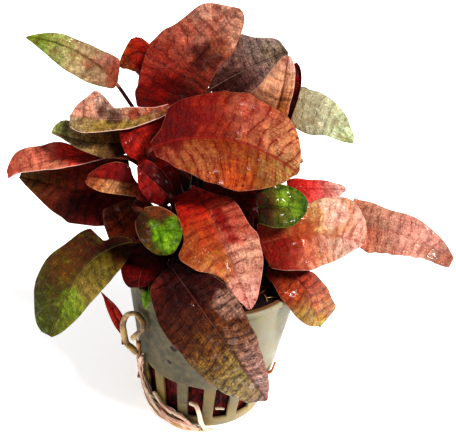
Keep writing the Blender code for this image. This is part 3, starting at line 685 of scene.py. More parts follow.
class Shell:
    """Points, faces and UV pairs collected for one mesh."""

    def __init__(self):
        self.points = []
        self.faces = []
        self.blade = []
        self.veins = []
        self.count = 0

    def add(self, points, faces, blade=None, veins=None):
        points = np.asarray(points, float)
        self.points.append(points)
        self.faces += [tuple(corner + self.count for corner in face) for face in faces]
        zeros = np.zeros((len(points), 2))
        self.blade.append(zeros if blade is None else blade)
        self.veins.append(zeros if veins is None else veins)
        self.count += len(points)

    def make(self, name, material, patches=None):
        """The mesh as an object, with UV and colour layers if it has patches."""
        mesh = bpy.data.meshes.new(name)
        mesh.from_pydata((np.vstack(self.points) * MM).tolist(), [], self.faces)
        if patches is not None:
            corners = np.empty(len(mesh.loops), dtype=int)
            mesh.loops.foreach_get("vertex_index", corners)
            for title, values in (("Blade", self.blade), ("Veins", self.veins)):
                layer = mesh.uv_layers.new(name=title)
                layer.data.foreach_set("uv", np.vstack(values)[corners].ravel())
            layer = mesh.color_attributes.new("Patches", "FLOAT_COLOR", "POINT")
            layer.data.foreach_set("color", patches.ravel())
        mesh.materials.append(material)
        mesh.shade_smooth()
        mesh.update()
        item = bpy.data.objects.new(name, mesh)
        bpy.context.collection.objects.link(item)
        return item


def skin_faces(rings, sides):
    """Quads between rings of equal size, closed by a bottom and a top point that follow the rings."""
    faces = []
    for ring in range(rings - 1):
        low = ring * sides
        high = low + sides
        for k in range(sides):
            after = (k + 1) % sides
            faces.append((low + k, low + after, high + after, high + k))
    last = (rings - 1) * sides
    bottom = rings * sides
    top = bottom + 1
    for k in range(sides):
        after = (k + 1) % sides
        faces.append((bottom, after, k))
        faces.append((top, last + k, last + after))
    return faces


def tube(path, radii, sides):
    """Points and faces of a closed tube along a path, with rounded ends."""
    path = np.asarray(path, float)
    forward = unit(np.gradient(path, axis=0))
    side = unit(np.cross(forward[0], [0.31, 0.83, 0.46]))
    angles = 2 * math.pi * np.arange(sides) / sides
    rings = []
    for k in range(len(path)):
        side = unit(side - forward[k] * np.dot(side, forward[k]))
        other = np.cross(forward[k], side)
        ring = np.cos(angles)[:, None] * side + np.sin(angles)[:, None] * other
        rings.append(path[k] + radii[k] * ring)
    start = path[0] - forward[0] * radii[0] * 0.5
    end = path[-1] + forward[-1] * radii[-1] * 0.5
    return np.vstack(rings + [start, end]), skin_faces(len(path), sides)


def leaf_patches(leaf, shell):
    """Colour and cover of each point, from the leaf's soft-edged patches."""
    blade = np.vstack(shell.blade)
    points = np.vstack(shell.points)
    cover = np.zeros(len(blade))
    tint = np.zeros((len(blade), 3))
    for along, across, radius, name, share in LOOKS[leaf.name]["patches"]:
        middle = leaf.sheet(np.array([along]), np.array([across]))[0][0, 0]
        away = np.linalg.norm(points - middle, axis=1)
        seed = leaf.seed + int(99 * along)
        ragged = 1 + 0.3 * wander(points[:, 0] / 1.6, points[:, 2] / 1.6 + along * 9, seed)
        weight = share * np.clip((1.25 * ragged - away / radius) / 0.6, 0, 1)
        weight = weight * (blade[:, 0] > 0.001)
        total = np.maximum(weight + cover * (1 - weight), 1e-6)
        new = np.array(linear(name)[:3])
        tint = (new * weight[:, None] + tint * (cover * (1 - weight))[:, None]) / total[:, None]
        cover = weight + cover * (1 - weight)
    return np.column_stack([tint, cover])


def make_leaf(leaf, material):
    """The blade as one closed skin, and the stalk that runs on under it as the midrib."""
    shell = Shell()
    rows = int(np.clip(leaf.length / ROW_LENGTH, FEWEST_ROWS, MOST_ROWS))
    x = np.arange(1, rows) / rows
    t = 0.2 * x + 0.8 * (0.5 - 0.5 * np.cos(math.pi * x))
    t = t[leaf.half(t, -1) + leaf.half(t, 1) > LEAST_ROW_WIDTH]
    spread = np.linspace(-1, 1, COLUMNS)
    across = 0.5 * spread + 0.5 * np.sin(math.pi / 2 * spread)
    sheet, run, reach, forward = leaf.sheet(t, across)
    over = unit(np.cross(np.gradient(sheet, axis=1), forward[:, None, :]))
    thick = BLADE_THICKNESS / 2 * np.sqrt(np.maximum(0.0, 1 - np.abs(across) ** 6))[None, :, None]
    upper = sheet + over * thick
    lower = sheet - over * thick
    rings = np.concatenate([upper, lower[:, -2:0:-1]], axis=1)

    def around(values):
        return np.concatenate([values, values[:, -2:0:-1]], axis=1).ravel()

    grid_t = np.repeat(t[:, None], COLUMNS, axis=1)
    grid_a = np.repeat((across[None, :] + 1) / 2, len(t), axis=0)
    base, tip = leaf.base, leaf.tip
    if leaf.outline:
        base, tip = sheet[0].mean(axis=0), sheet[-1].mean(axis=0)
    points = np.vstack([rings.reshape(-1, 3), base, tip])
    blade = np.vstack([np.column_stack([around(grid_t), around(grid_a)]), [0.0, 0.5], [1.0, 0.5]])
    ends = [[0.0, 0.0], [leaf.length / UV_SPAN, 0.0]]
    veins = np.vstack([np.column_stack([around(run), around(reach)]) / UV_SPAN, ends])
    shell.add(points, skin_faces(len(t), rings.shape[1]), blade, veins)

    under = np.linspace(0.02, 0.82 * t[-1], MIDRIB_POINTS)
    spine = leaf.sheet(under, np.array([0.0]))[0]
    normals = leaf.frames(under)[2]
    fade = (1 - under / 0.9) ** 0.8
    rib_radius = leaf.stalk * MIDRIB_SHARE * fade + 0.08
    rib = spine[:, 0] - normals * (rib_radius * 0.75)[:, None]
    stalk = leaf.stalk_path(STALK_POINTS)
    foot = leaf.root - np.array([0, 0, STALK_DEPTH])
    path = np.vstack([foot, stalk[:-1], rib])
    stalk_radius = leaf.stalk * np.linspace(1.0, 0.8, len(stalk))
    radii = np.concatenate([stalk_radius[:1], stalk_radius[:-1], rib_radius])
    tube_points, tube_faces = tube(path, radii, STALK_SIDES)
    progress = np.concatenate([np.linspace(-1, -0.05, len(stalk)), under * 0.02])
    tube_u = np.concatenate([np.repeat(progress, STALK_SIDES), [-1, 0.0]])
    beyond_midrib = np.full((len(tube_u), 2), 1.5 / UV_SPAN)
    tube_blade = np.column_stack([tube_u, np.full(len(tube_u), 0.5)])
    shell.add(tube_points, tube_faces, tube_blade, beyond_midrib)
    return shell.make("fine_" + leaf.name, material, leaf_patches(leaf, shell))


# What a leaf looks like where its own entry says nothing else
USUAL_LOOK = {
    "vein": "oxblood", "rib": "clay", "cross": 0.6, "net": 0.35, "long": 0.15, "groove": 0.3,
    "rim": ("pink", 0.5), "blotch": ("maroon", 0.25, 5.0), "mottle": 0.45, "stalk": "oxblood",
    "rough": 0.42, "wet": 0.5, "glow": 0.10, "relief": 0.9, "grain": 0.2, "patches": (),
}


def look(left, right=None, **changes):
    """A leaf's look: the colours of its two halves, and what differs from the usual look."""
    return {**USUAL_LOOK, "left": left, "right": right or left, **changes}


# Colours run from base to tip, first of the left half and then of the right one, if it differs.
# A patch is its place along, its place across from -1 to 1, its radius, its colour and its cover.
LOOKS = {
    "leaf_far_left_slender": look(
        "plum_grey taupe taupe sage leaf_green", "rose_brown plum_grey taupe sage leaf_green",
        vein="olive_brown", rib="olive", cross=0.15, net=0.2, rim=("sage", 0.3), stalk="maroon",
        blotch=("rose_brown", 0.4, 2.4), patches=[(0.08, 0.3, 3.0, "rose_brown", 0.8),
        (0.35, -0.2, 2.0, "rose_brown", 0.5), (0.4, 0.5, 3.0, "taupe", 0.7)]),
    "leaf_back_left_scarlet": look(
        "oxblood blood red rust amber", "blood dark_red scarlet burnt amber", glow=0.3,
        blotch=("burnt", 0.4, 3.0), rim=("burnt", 0.7), cross=0.3),
    "leaf_back_tall": look(
        "dark_red red brick rose_brown tan_pink tan_pink",
        "blood dark_red brick rose_brown tan_brown tan_pink", groove=0.15, blotch=("brick", 0.5, 3.5),
        cross=0.4, net=0.3, rim=("clay", 0.7), mottle=0.3, relief=1.2,
        patches=[(0.62, 0.3, 4.0, "maroon", 0.8), (0.3, -0.3, 4.0, "blood", 0.6),
        (0.66, -0.8, 4.0, "clay", 0.7), (0.82, -0.1, 4.5, "rose_brown", 0.7),
        (0.9, 0.6, 4.5, "tan_pink", 0.6)]),
    "leaf_back_purple": look(
        "plum plum_grey grey_pink pale_grey pale_grey", "oxblood plum plum_grey pale_grey grey_pink",
        vein="night_maroon", rib="grey_tan", cross=0.3, groove=0.4, blotch=("plum", 0.4, 2.6),
        rim=("pale_grey", 0.6), rough=0.34, wet=0.9, relief=1.2,
        patches=[(0.25, 0.2, 5.0, "night_maroon", 0.7), (0.85, -0.2, 4.0, "taupe", 0.7)]),
    "leaf_back_right_folded": look(
        "apricot peach peach peach pink", "apricot apricot peach peach pale_pink", vein="rust", cross=0.5,
        rim=("pale_pink", 0.7), blotch=("orange", 0.4, 3.5), mottle=0.25, glow=0.3),
    # Painted shade: its dark maroon stands for the shade on this narrow leaf behind the folded one
    "leaf_back_right_sliver": look(
        "maroon oxblood blood maroon", rim=("blood", 0.4), cross=0.2, glow=0.1),
    "leaf_back_right_pale": look(
        "taupe mist mist pale_green pale_green", "taupe mist mist pale_green sage", vein="taupe",
        rib="mist", cross=0.3, net=0.2, groove=0.15, rim=("sage", 0.4), blotch=("taupe", 0.7, 2.6),
        glow=0.2),
    "leaf_back_low_left": look(
        "night_maroon maroon plum plum_grey"),
    "leaf_back_low_right": look(
        "maroon blood brick salmon"),
    "leaf_back_drooping": look(
        "maroon dark_red orange salmon pink", "blood rust tan_orange clay pink"),
    "leaf_back_right_drooping": look(
        "maroon plum olive_brown olive", "maroon olive_brown olive_tan olive"),
    "leaf_left_trough": look(
        "rust olive_tan khaki khaki taupe", "brick clay tan_brown grey_tan salmon pink", vein="brown",
        cross=0.35, groove=0.15, rim=("pale_pink", 0.9), blotch=("grey_tan", 0.5, 2.6),
        patches=[(0.55, 0.2, 2.0, "brown", 0.8), (0.7, 0.35, 1.6, "brown", 0.8),
        (0.35, 0.3, 1.6, "brick", 0.8), (0.62, -0.1, 1.4, "olive_dark", 0.8)]),
    "leaf_left_olive": look(
        "maroon brown olive_tan taupe taupe", "maroon olive_brown olive_tan taupe sage",
        vein="night_maroon", rib="olive_dark", rim=("olive_tan", 0.4), cross=0.3, groove=0.0),
    # Painted shade: the red and blood patches on the far half stand for the shade of the olive leaf above
    # it
    "leaf_left_pink": look(
        "salmon rose salmon salmon rose", "oxblood maroon blood red rose salmon brick", vein="dark_red",
        cross=0.4, rim=("pale_pink", 0.7), rib="rose", groove=0.1, blotch=("dark_red", 0.3, 3.0),
        patches=[(0.45, 0.5, 4.5, "red", 0.95), (0.28, 0.5, 3.0, "blood", 0.9)]),
    "leaf_left_dark": look(
        "rust_brown blood oxblood brown rust_brown olive_tan",
        "maroon oxblood blood rust_brown olive_brown olive_tan", vein="night", rib="oxblood",
        rim=("olive_tan", 0.5), cross=0.5, blotch=("maroon", 0.5, 3.0), groove=0.1),
    "leaf_left_inner": look(
        "maroon blood red red blood", rim=("red", 0.4), glow=0.2),
    "leaf_left_low": look(
        "maroon rust_brown rust_brown brown", vein="night", rim=("brick", 0.4), glow=0.08),
    "leaf_left_amber": look(
        "red tan_orange tan tan_orange rose_brown", "blood oxblood blood dark_red brick", vein="oxblood",
        cross=0.6, rim=("tan", 0.5), rib="rust"),
    "leaf_left_shaded": look(
        "maroon oxblood blood maroon", "oxblood oxblood blood maroon", vein="night", rim=("oxblood", 0.4),
        blotch=("night", 0.5, 3.0), glow=0.03),
    "leaf_front_left_green": look(
        "maroon olive_brown olive olive_tan leaf_green olive",
        "maroon maroon brown olive_brown olive_dark moss", vein="olive_dark", rib="olive_tan", cross=0.4,
        long=0.25, groove=0.6, rim=("olive_tan", 0.4), blotch=("leaf_green", 0.25, 3.6),
        patches=[(0.12, -0.5, 4.0, "brown", 0.9), (0.1, 0.5, 4.0, "maroon", 0.9),
        (0.75, -0.4, 4.0, "lime", 0.5)]),
    "leaf_top_broad": look(
        "maroon oxblood blood rust_brown cocoa tan_brown tan",
        "clay bronze bronze golden_brown bronze dark_gold olive_tan", vein="blood", rib="dark_red",
        cross=0.85, net=0.55, rim=("salmon", 0.6), groove=0.6, blotch=("rust", 0.35, 4.0), wet=0.15,
        mottle=0.3, patches=[(0.14, -0.5, 7.0, "oxblood", 0.85), (0.85, -0.6, 5.0, "tan_brown", 0.7),
        (0.92, 0.35, 5.0, "olive_tan", 0.6), (0.6, -0.65, 5.0, "clay", 0.6),
        (0.6, 0.85, 5.0, "burnt", 0.7), (0.3, 0.55, 5.0, "tan_brown", 0.35)]),
    "leaf_middle_curled": look(
        "oxblood blood dark_red blood", "night_maroon maroon oxblood blood", rim=("hot_red", 0.5),
        vein="maroon", wet=0.9),
    # Painted shade: its near-black colours stand for the dark mass of shade between the middle leaves
    "leaf_inner_middle": look(
        "night_maroon maroon blood dark_red", "night_maroon oxblood blood oxblood", vein="night",
        rim=("oxblood", 0.3), glow=0.06),
    # The small lime patch on the bright green spot is a painted highlight
    "leaf_front_small_round": look(
        "brown rust_brown brown moss moss", "maroon maroon brown olive_brown moss", vein="deep_green",
        rib="moss", cross=0.3, net=0.3, rim=("tan", 0.4), wet=0.9, blotch=("olive_brown", 0.5, 3.0),
        patches=[(0.66, -0.35, 4.4, "bright_green", 0.95), (0.8, -0.45, 2.0, "lime", 0.5)]),
    "leaf_front_red": look(
        "hot_red scarlet clay clay tan_pink tan_pink pink",
        "hot_red scarlet burnt rust amber tan_pink pink", vein="blood", rib="clay", cross=0.7, net=0.3,
        rim=("pink", 0.6), blotch=("dark_red", 0.5, 3.0), patches=[(0.15, 0.55, 5.0, "red", 0.8),
        (0.3, -0.25, 1.6, "blood", 0.9), (0.38, -0.27, 1.6, "blood", 0.9),
        (0.46, -0.3, 1.6, "blood", 0.8), (0.54, -0.33, 1.4, "dark_red", 0.8),
        (0.5, 0.75, 4.0, "bronze", 0.8), (0.7, -0.5, 4.5, "tan_pink", 0.7), (0.9, 0.0, 4.5, "pink", 0.6)]),
    # Painted shade: the near-black base, with the night_maroon and maroon patches by it, stands for the
    # shade under the leaves above
    "leaf_front_hanging": look(
        "night_maroon maroon brown olive_brown grey_pink plum_grey grey_pink",
        "maroon brown brown olive_brown pale_olive pale_olive grey_pink", vein="night_maroon",
        rib="cocoa", cross=0.7, net=0.5, long=0.15, groove=0.5, rim=("grey_pink", 0.5), stalk="maroon",
        mottle=0.6, wet=0.8, blotch=("night_maroon", 0.5, 3.2), patches=[(0.06, 0.8, 3.0, "brick", 0.6),
        (0.12, -0.2, 4.0, "maroon", 0.8), (0.35, -0.8, 4.0, "grey_pink", 0.8),
        (0.85, -0.4, 3.0, "pale_grey", 0.35), (0.15, 0.3, 4.0, "night_maroon", 0.6),
        (0.97, 0.1, 1.6, "dark_red", 0.7)]),
    "leaf_rim_seedling": look(
        "bright_green bright_green lime", vein="deep_green", rib="lime", rim=("lime", 0.4),
        stalk="bright_green", mottle=0.15, cross=0.1, net=0.1),
    # The two lime patches are painted highlights
    "leaf_right_small_green": look(
        "oxblood brown olive leaf_green deep_green", "maroon maroon olive moss deep_green",
        vein="deep_green", rib="deep_green", cross=0.25, net=0.3, rim=("lime", 0.3),
        blotch=("deep_green", 0.8, 2.6), wet=0.9, patches=[(0.12, 0.0, 4.0, "maroon", 0.9),
        (0.55, -0.4, 2.2, "lime", 0.6), (0.8, 0.2, 2.0, "lime", 0.4)]),
    "leaf_right_broad": look(
        "dark_red rust_brown olive_tan tan tan_pink pink", "oxblood blood clay tan_pink grey_tan pink",
        vein="rust", rib="rust", cross=0.55, net=0.35, rim=("pale_pink", 0.5),
        blotch=("tan_orange", 0.4, 3.5), patches=[(0.15, 0.4, 6.0, "blood", 0.8),
        (0.38, -0.15, 4.0, "rust", 0.8), (0.65, -0.6, 4.0, "pale_pink", 0.5),
        (0.85, 0.2, 4.0, "pink", 0.5)]),
    "leaf_right_back_pink": look(
        "dark_red red hot_red hot_pink pink pale_pink", "dark_red red hot_red hot_pink pink pale_pink",
        vein="dark_red", cross=0.4, rib="dark_red", blotch=("dark_red", 0.4, 2.5)),
    "leaf_far_right": look(
        "salmon tan_pink tan_pink pink pink grey_pink", "rose salmon tan_pink pink tan_pink grey_pink",
        vein="brick", rib="rose", cross=0.4, groove=0.15, rim=("pale_pink", 0.4), mottle=0.25,
        blotch=("rose", 0.35, 3.0), patches=[(0.95, 0.5, 3.0, "rust", 0.4)]),
    "leaf_front_right_amber": look(
        "maroon dark_red brick clay tan_brown tan", "oxblood blood rust_brown bronze khaki khaki",
        vein="oxblood", cross=0.6, blotch=("rust", 0.6, 3.0), rim=("tan", 0.5),
        patches=[(0.95, 0.1, 3.6, "gold", 0.8), (0.98, -0.2, 2.2, "sage", 0.6),
        (0.1, 0.0, 3.0, "blood", 0.8), (0.45, 0.5, 3.5, "rust", 0.8)]),
    "runner_leaf": look(
        "dark_red red scarlet red blood", rim=("blood", 0.3), cross=0.1, net=0.1, long=0.1,
        blotch=("dark_red", 0.3, 2.0), rib="dark_red", stalk="red"),
}


def dress(item, slot, *nodes):
    """Puts a finished piece on the body, in place of its solids."""
    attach(item, BODY)
    if nodes:
        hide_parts(*nodes)


def add_leaf(slot, name, **shape):
    """A finished leaf in place of its solid."""
    leaf = Leaf(name, **shape)
    item = make_leaf(leaf, leaf_material("skin_" + name, LOOKS[name]))
    dress(item, slot, name)


def back_leaves():
    """The back leaves, from the outermost on the left to the drooping ones on the far side."""
    add_leaf(
        "leaf_pale", "leaf_far_left_slender", root=(-9, 8, 50), base=(-29.4, 14, 91.3),
        middle=(-38.6, 9, 101.8), tip=(-51, 10, 103.9), face=(0.2, -0.7, 0.7), left=(2.2, 3, 3, 2.2, 1),
        right=(3, 5, 5.5, 4.5, 2.5), ends=(0.5, 0.8), stalk=0.6, pull=0.06, widest=2.2)
    add_leaf(
        "leaf_red", "leaf_back_left_scarlet", root=(-5, 11, 50), base=(-20, 26, 91), middle=(-26, 25, 95),
        tip=(-30.5, 24, 89), face=(0, -0.9, 0.4), left=(4, 4.5, 4, 2.5, 1), right=(3, 4.5, 4.5, 2.5, 1))
    add_leaf(
        "leaf_red", "leaf_back_tall", root=(-6, 8, 50), base=(-18, 18, 82), middle=(-11, 15, 98),
        tip=(0.5, 20, 112.3), face=(0.2, -0.9, 0.4), left=(8, 9.5, 10, 9.5, 8), right=(7, 8, 8.5, 8, 6.5),
        ends=(0.5, 0.4), ruffle=(0.6, 2, 0), wavy=0.9, puckers=0.4)
    add_leaf(
        "leaf_purple", "leaf_back_purple", root=(-1, 12, 50), base=(-6, 29, 84), middle=(4, 30, 91),
        tip=(14, 28, 98), face=(0.1, -0.8, 0.6), left=(5, 7.5, 8, 8, 6), right=(6, 8, 9, 8, 5),
        ends=(0.5, 0.5), wavy=0.8, puckers=0.35, widest=1.9)
    add_leaf(
        "leaf_red", "leaf_back_right_folded", root=(5, 8, 50), base=(12, 16, 86), middle=(13, 14, 95),
        tip=(13, 14, 104), face=(0, -1, 0.2), left=(6.5, 6, 4.5, 3, 1.5), right=(3, 4, 4, 3.5, 2.5))
    add_leaf(
        "leaf_purple", "leaf_back_right_sliver", root=(8, 9, 50), base=(15.3, 22, 80.2),
        middle=(17.6, 23, 89.9), tip=(16, 23.5, 97.4), face=(-0.3, -0.9, 0.2), left=(1.5, 2, 2, 2, 1))
    add_leaf(
        "leaf_pale", "leaf_back_right_pale", root=(9, 5, 50), base=(16, 15, 84), middle=(25, 14, 86),
        tip=(33, 11, 82), face=(0.2, -0.5, 0.85), left=(7.5, 9.5, 8.5, 5.5, 2),
        right=(3, 4.5, 4.5, 3.5, 2), ends=(0.5, 0.7))
    add_leaf(
        "leaf_purple", "leaf_back_low_left", root=(-6, 14, 50), base=(-5, 15, 54), middle=(-10, 21, 60),
        tip=(-16, 29, 60), face=(0, -0.6, 0.8), left=(5, 7, 7, 6, 4))
    add_leaf(
        "leaf_red", "leaf_back_low_right", root=(3, 15, 50), base=(3, 16, 54), middle=(7, 21, 60),
        tip=(11, 29, 61), face=(0, -0.6, 0.8), left=(4, 7, 7, 6, 4), right=(4, 6, 6, 5, 3))
    add_leaf(
        "leaf_red", "leaf_back_drooping", root=(0.5, 10, 50), base=(0, 24, 66), middle=(0, 35, 64),
        tip=(2, 42, 52), face=(0, 0.4, 0.9), left=(5, 7, 7.5, 6.5, 4))
    add_leaf(
        "leaf_purple", "leaf_back_right_drooping", root=(10, 13, 50), base=(14, 24, 64),
        middle=(18, 33, 62), tip=(20, 40, 54), face=(0.2, 0.4, 0.9), left=(4, 6, 6, 5, 3),
        right=(3.5, 4.5, 4.5, 4, 2.5))


def left_leaves():
    """The left leaves, from the top ones to the low green one at the front."""
    add_leaf(
        "leaf_red", "leaf_left_trough", root=(-9, 5, 50), base=(-15, 9, 89), middle=(-27, 6, 86),
        tip=(-40, 5, 86), face=(0, -0.5, 0.85), left=(3, 5, 5.5, 5.5, 4), right=(1, 2, 4, 7.5, 4.5),
        bend_left=(-10, 45), bend_right=(15, 40), edge_wave=0.2)
    add_leaf(
        "leaf_green", "leaf_left_olive", root=(-12, 5, 50), base=(-24, 8, 78), middle=(-34, 6, 78),
        tip=(-45, 6, 80), face=(0, -0.5, 0.85), left=(3, 5, 5, 3.5, 1.5), right=(3, 4, 4, 4, 2.5))
    add_leaf(
        "leaf_red", "leaf_left_pink", root=(-14, 2, 50), base=(-27, 7, 74), middle=(-41, 7, 72),
        tip=(-57, 5, 66), face=(0, -0.5, 0.85), left=(1.5, 2.5, 3, 3.5, 2), right=(1, 2.5, 4, 6, 8),
        ends=(0.5, 0.2), widest=1.5)
    add_leaf(
        "leaf_purple", "leaf_left_dark", root=(-15, 6, 50), base=(-23, 8, 60), middle=(-39, 8, 61),
        tip=(-56, 13, 60), face=(0, -0.6, 0.8), left=(7, 9, 9, 7, 3.5), right=(6, 8, 8, 7, 4),
        ends=(0.15, 0.6))
    add_leaf(
        "leaf_purple", "leaf_left_inner", root=(-6.5, 4.5, 50), base=(-11.6, 2.4, 66),
        middle=(-18, 2, 77), tip=(-26, 6.5, 84), face=(0.3, -0.8, 0.5), left=(3, 4, 4, 3.5, 2),
        ends=(0.15, 0.2), widest=2.6)
    add_leaf(
        "leaf_purple", "leaf_left_low", root=(-17.5, 1.2, 50.3), base=(-21.5, 0.6, 51.5),
        middle=(-25.4, 0.8, 55.5), tip=(-28.5, 1, 62.8), face=(0.3, -0.8, 0.5),
        left=(2.5, 3.5, 3.8, 3.4, 2), stalk=0.6, ends=(0.3, 0.25), wavy=0.1, edge_wave=0.1, widest=2.6)
    add_leaf(
        "leaf_red", "leaf_left_amber", root=(-12, 1, 50), base=(-20, 0, 70), middle=(-27, -1.5, 72),
        tip=(-36, 1, 71), face=(0, -0.7, 0.7), left=(3, 4, 4, 3.5, 2), right=(3, 5, 5, 4.5, 3),
        ends=(0.2, 0.6))
    add_leaf(
        "leaf_purple", "leaf_left_shaded", root=(-11.5, -2, 50.2), base=(-14.5, -3, 51.4),
        middle=(-18.2, -9, 51.6), tip=(-18.6, -17.6, 50.9), face=(-0.05, -0.1, 0.97),
        left=(3, 4.5, 5, 4.5, 3), right=(2.6, 3, 3.4, 4, 3.2), bend_left=(0, 0), bend_right=(0, 0),
        wavy=0.08, puckers=0.1, edge_wave=0.05, widest=1.8)
    add_leaf(
        "leaf_green", "leaf_front_left_green", root=(-15, 0.2, 50), base=(-21.5, -4.4, 54.9),
        middle=(-34, -10, 49), tip=(-42.4, -16.3, 29), face=(0, -0.42, 0.9), face_tip=(-0.4, -0.8, 0.4),
        left=(7, 8.5, 9, 8.5, 5), right=(6, 8, 9, 9.5, 7), ends=(0.3, 0.25), widest=1.6)


def middle_leaves():
    """The middle leaves, from the broad top one to the seedling on the rim."""
    add_leaf(
        "leaf_red", "leaf_top_broad", root=(-8, 1, 50), base=(-18, -3, 84), middle=(0, 1, 86.2),
        tip=(19, 1, 78), face=(0, -0.6, 0.8), left=(8, 11.5, 12.5, 12, 9), right=(7, 11, 14, 13, 8),
        ends=(0.5, 0.5), pull=0.12, wavy=0.4)
    add_leaf(
        "leaf_red", "leaf_middle_curled", root=(-9, -1, 50), base=(-13, -4.8, 71.4),
        middle=(-17.3, -6.3, 76.6), tip=(-21.2, -6, 80.1), face=(0.3, -0.8, 0.4), left=(3, 4, 4, 3.5, 2),
        widest=1.9)
    add_leaf(
        "leaf_purple", "leaf_inner_middle", root=(0, 5, 50), base=(2, 3.2, 56), middle=(2.5, 4.2, 67),
        tip=(4, 6, 79), face=(0, -1, 0.3), left=(6, 7.5, 7.5, 6.5, 4))
    add_leaf(
        "leaf_green", "leaf_front_small_round", root=(-10, -6, 50), base=(-19, -13, 72),
        middle=(-15, -13, 67), tip=(-13, -15, 60), face=(-0.1, -0.8, 0.6), left=(5, 6, 6, 6, 4.5),
        right=(4, 5, 5, 5, 4), ends=(0.5, 0.5))
    add_leaf(
        "leaf_red", "leaf_front_red", root=(-5, -1, 50), base=(-7, 1, 70), middle=(1, -13, 66),
        tip=(10, -23, 52), face=(0.1, -0.7, 0.7), left=(7, 8.5, 8.5, 7.5, 4.5),
        right=(6, 7.4, 8.7, 6.8, 2.8))
    add_leaf(
        "leaf_red", "leaf_front_hanging", root=(-5, -8, 50), base=(-11, -15, 57), middle=(4, -28, 46),
        tip=(18, -18, 14), face=(0, -0.8, 0.6), face_tip=(0.3, -1, 0.3), left=(5, 7.5, 9, 7.5, 3),
        right=(8, 10, 9.5, 7.5, 3.5), ends=(0.5, 0.5))
    add_leaf(
        "leaf_green", "leaf_rim_seedling", root=(-15.7, -17.6, 51.6), base=(-15.8, -18.9, 51.4),
        middle=(-16.1, -20.3, 50.2), tip=(-16.3, -21, 46.9), face=(-0.5, -0.7, 0.5),
        left=(0.8, 1.4, 1.5, 1.2, 0.7), stalk=0.4, wavy=0.05, puckers=0.03, edge_wave=0.05)


def right_leaves():
    """The right leaves, from the small green one to the amber one at the front."""
    add_leaf(
        "leaf_green", "leaf_right_small_green", root=(7, -2, 50), base=(9.2, -7.6, 72.4),
        middle=(15, -7.4, 73.2), tip=(22, -5.4, 71.4), face=(0.1, -0.7, 0.7), left=(3.5, 5, 5.3, 5, 3.5),
        right=(3.5, 4.5, 5, 4.5, 3), pull=0.15)
    add_leaf(
        "leaf_red", "leaf_right_broad", root=(6, -7, 50), base=(11, -9, 62), middle=(25, -5, 64),
        tip=(40, 3, 56), face=(0.2, -0.7, 0.7), left=(6, 8, 9.5, 10.5, 7.5), right=(7, 9.5, 8.5, 7.5, 5),
        ends=(0.5, 0.5))
    add_leaf(
        "leaf_red", "leaf_right_back_pink", root=(12, 8, 50), base=(18, 20, 60), middle=(26, 21, 60),
        tip=(35, 22, 60), face=(0, -0.3, 0.95), left=(3, 4, 4, 4, 3))
    add_leaf(
        "leaf_red", "leaf_far_right", root=(14, 5, 50), base=(38, 22, 47.5), middle=(52.5, 18, 49),
        tip=(68, 15, 43.2), face=(0, -0.6, 0.8), left=(6.5, 7, 5.5, 5.5, 3.5),
        right=(6.5, 6, 5.5, 4.5, 3), ends=(0.25, 0.35), wavy=0.5, widest=1.8)
    add_leaf(
        "leaf_red", "leaf_front_right_amber", root=(9, -4, 50), base=(15, -4, 52), middle=(23, -12, 52),
        tip=(30, -10, 36), face=(0.3, -0.6, 0.7), left=(5, 6, 7.5, 8.5, 6), right=(4, 5, 4.5, 4, 2.5),
        ends=(0.5, 0.5), wavy=0.6)


# The net pot

def wall_radius(height):
    """Outer radius of the plain wall at a height."""
    return BASE_RADIUS + (RIM_RADIUS - LIP_PROUD - BASE_RADIUS) * height / POT_HEIGHT


def on_wall(degrees, height, proud):
    """A point outside the wall: degrees are counted from the front towards +X."""
    radius = wall_radius(height) + proud
    angle = math.radians(degrees)
    return (radius * math.sin(angle), -radius * math.cos(angle), height)


def pot_profile():
    """Radius and height of the outer and the inner skin, from the floor's slots up to the lip."""
    lip = POT_HEIGHT - LIP_HEIGHT
    corner = (-SLOT_CORNER, 0, SLOT_CORNER)
    outer = [(end + step, 0) for end in (FLOOR_SLOT_INNER, FLOOR_SLOT_OUTER) for step in corner]
    outer += [(BASE_RADIUS - 0.9, 0), (BASE_RADIUS - 0.35, 0.12), (wall_radius(0.8), 0.8)]
    heights = [SLOT_BOTTOM + step for step in corner] + [8.5, 14.0]
    heights += [SLOT_TOP + step for step in corner] + [26.0, 34.0, 42.0, lip - 0.5]
    outer += [(wall_radius(height), height) for height in heights]
    outer += [(wall_radius(lip) + 0.04, lip - 0.1), (RIM_RADIUS - 0.2, lip + 0.28), (RIM_RADIUS, lip + 0.7),
              (RIM_RADIUS, POT_HEIGHT - 0.5), (RIM_RADIUS - 0.1, POT_HEIGHT - 0.12),
              (RIM_RADIUS - 0.4, POT_HEIGHT)]
    inner = []
    for k, (radius, height) in enumerate(outer):
        if height == 0:
            inner.append((radius if radius <= FLOOR_SLOT_OUTER + SLOT_CORNER else BASE_RADIUS - 2.2, WALL))
        elif height <= 0.8:
            inner.append((BASE_RADIUS - 1.75 + 0.3 * height, WALL + 0.35 * height + 0.05))
        elif k < len(outer) - 5:
            inner.append((wall_radius(height) - WALL, height if height > 2 else 2.0))
        else:
            inner.append((wall_radius(height) - WALL, min(height, POT_HEIGHT - 0.1)))
    inner[-1] = (wall_radius(POT_HEIGHT) - WALL + 0.2, POT_HEIGHT - 0.02)
    return outer, inner


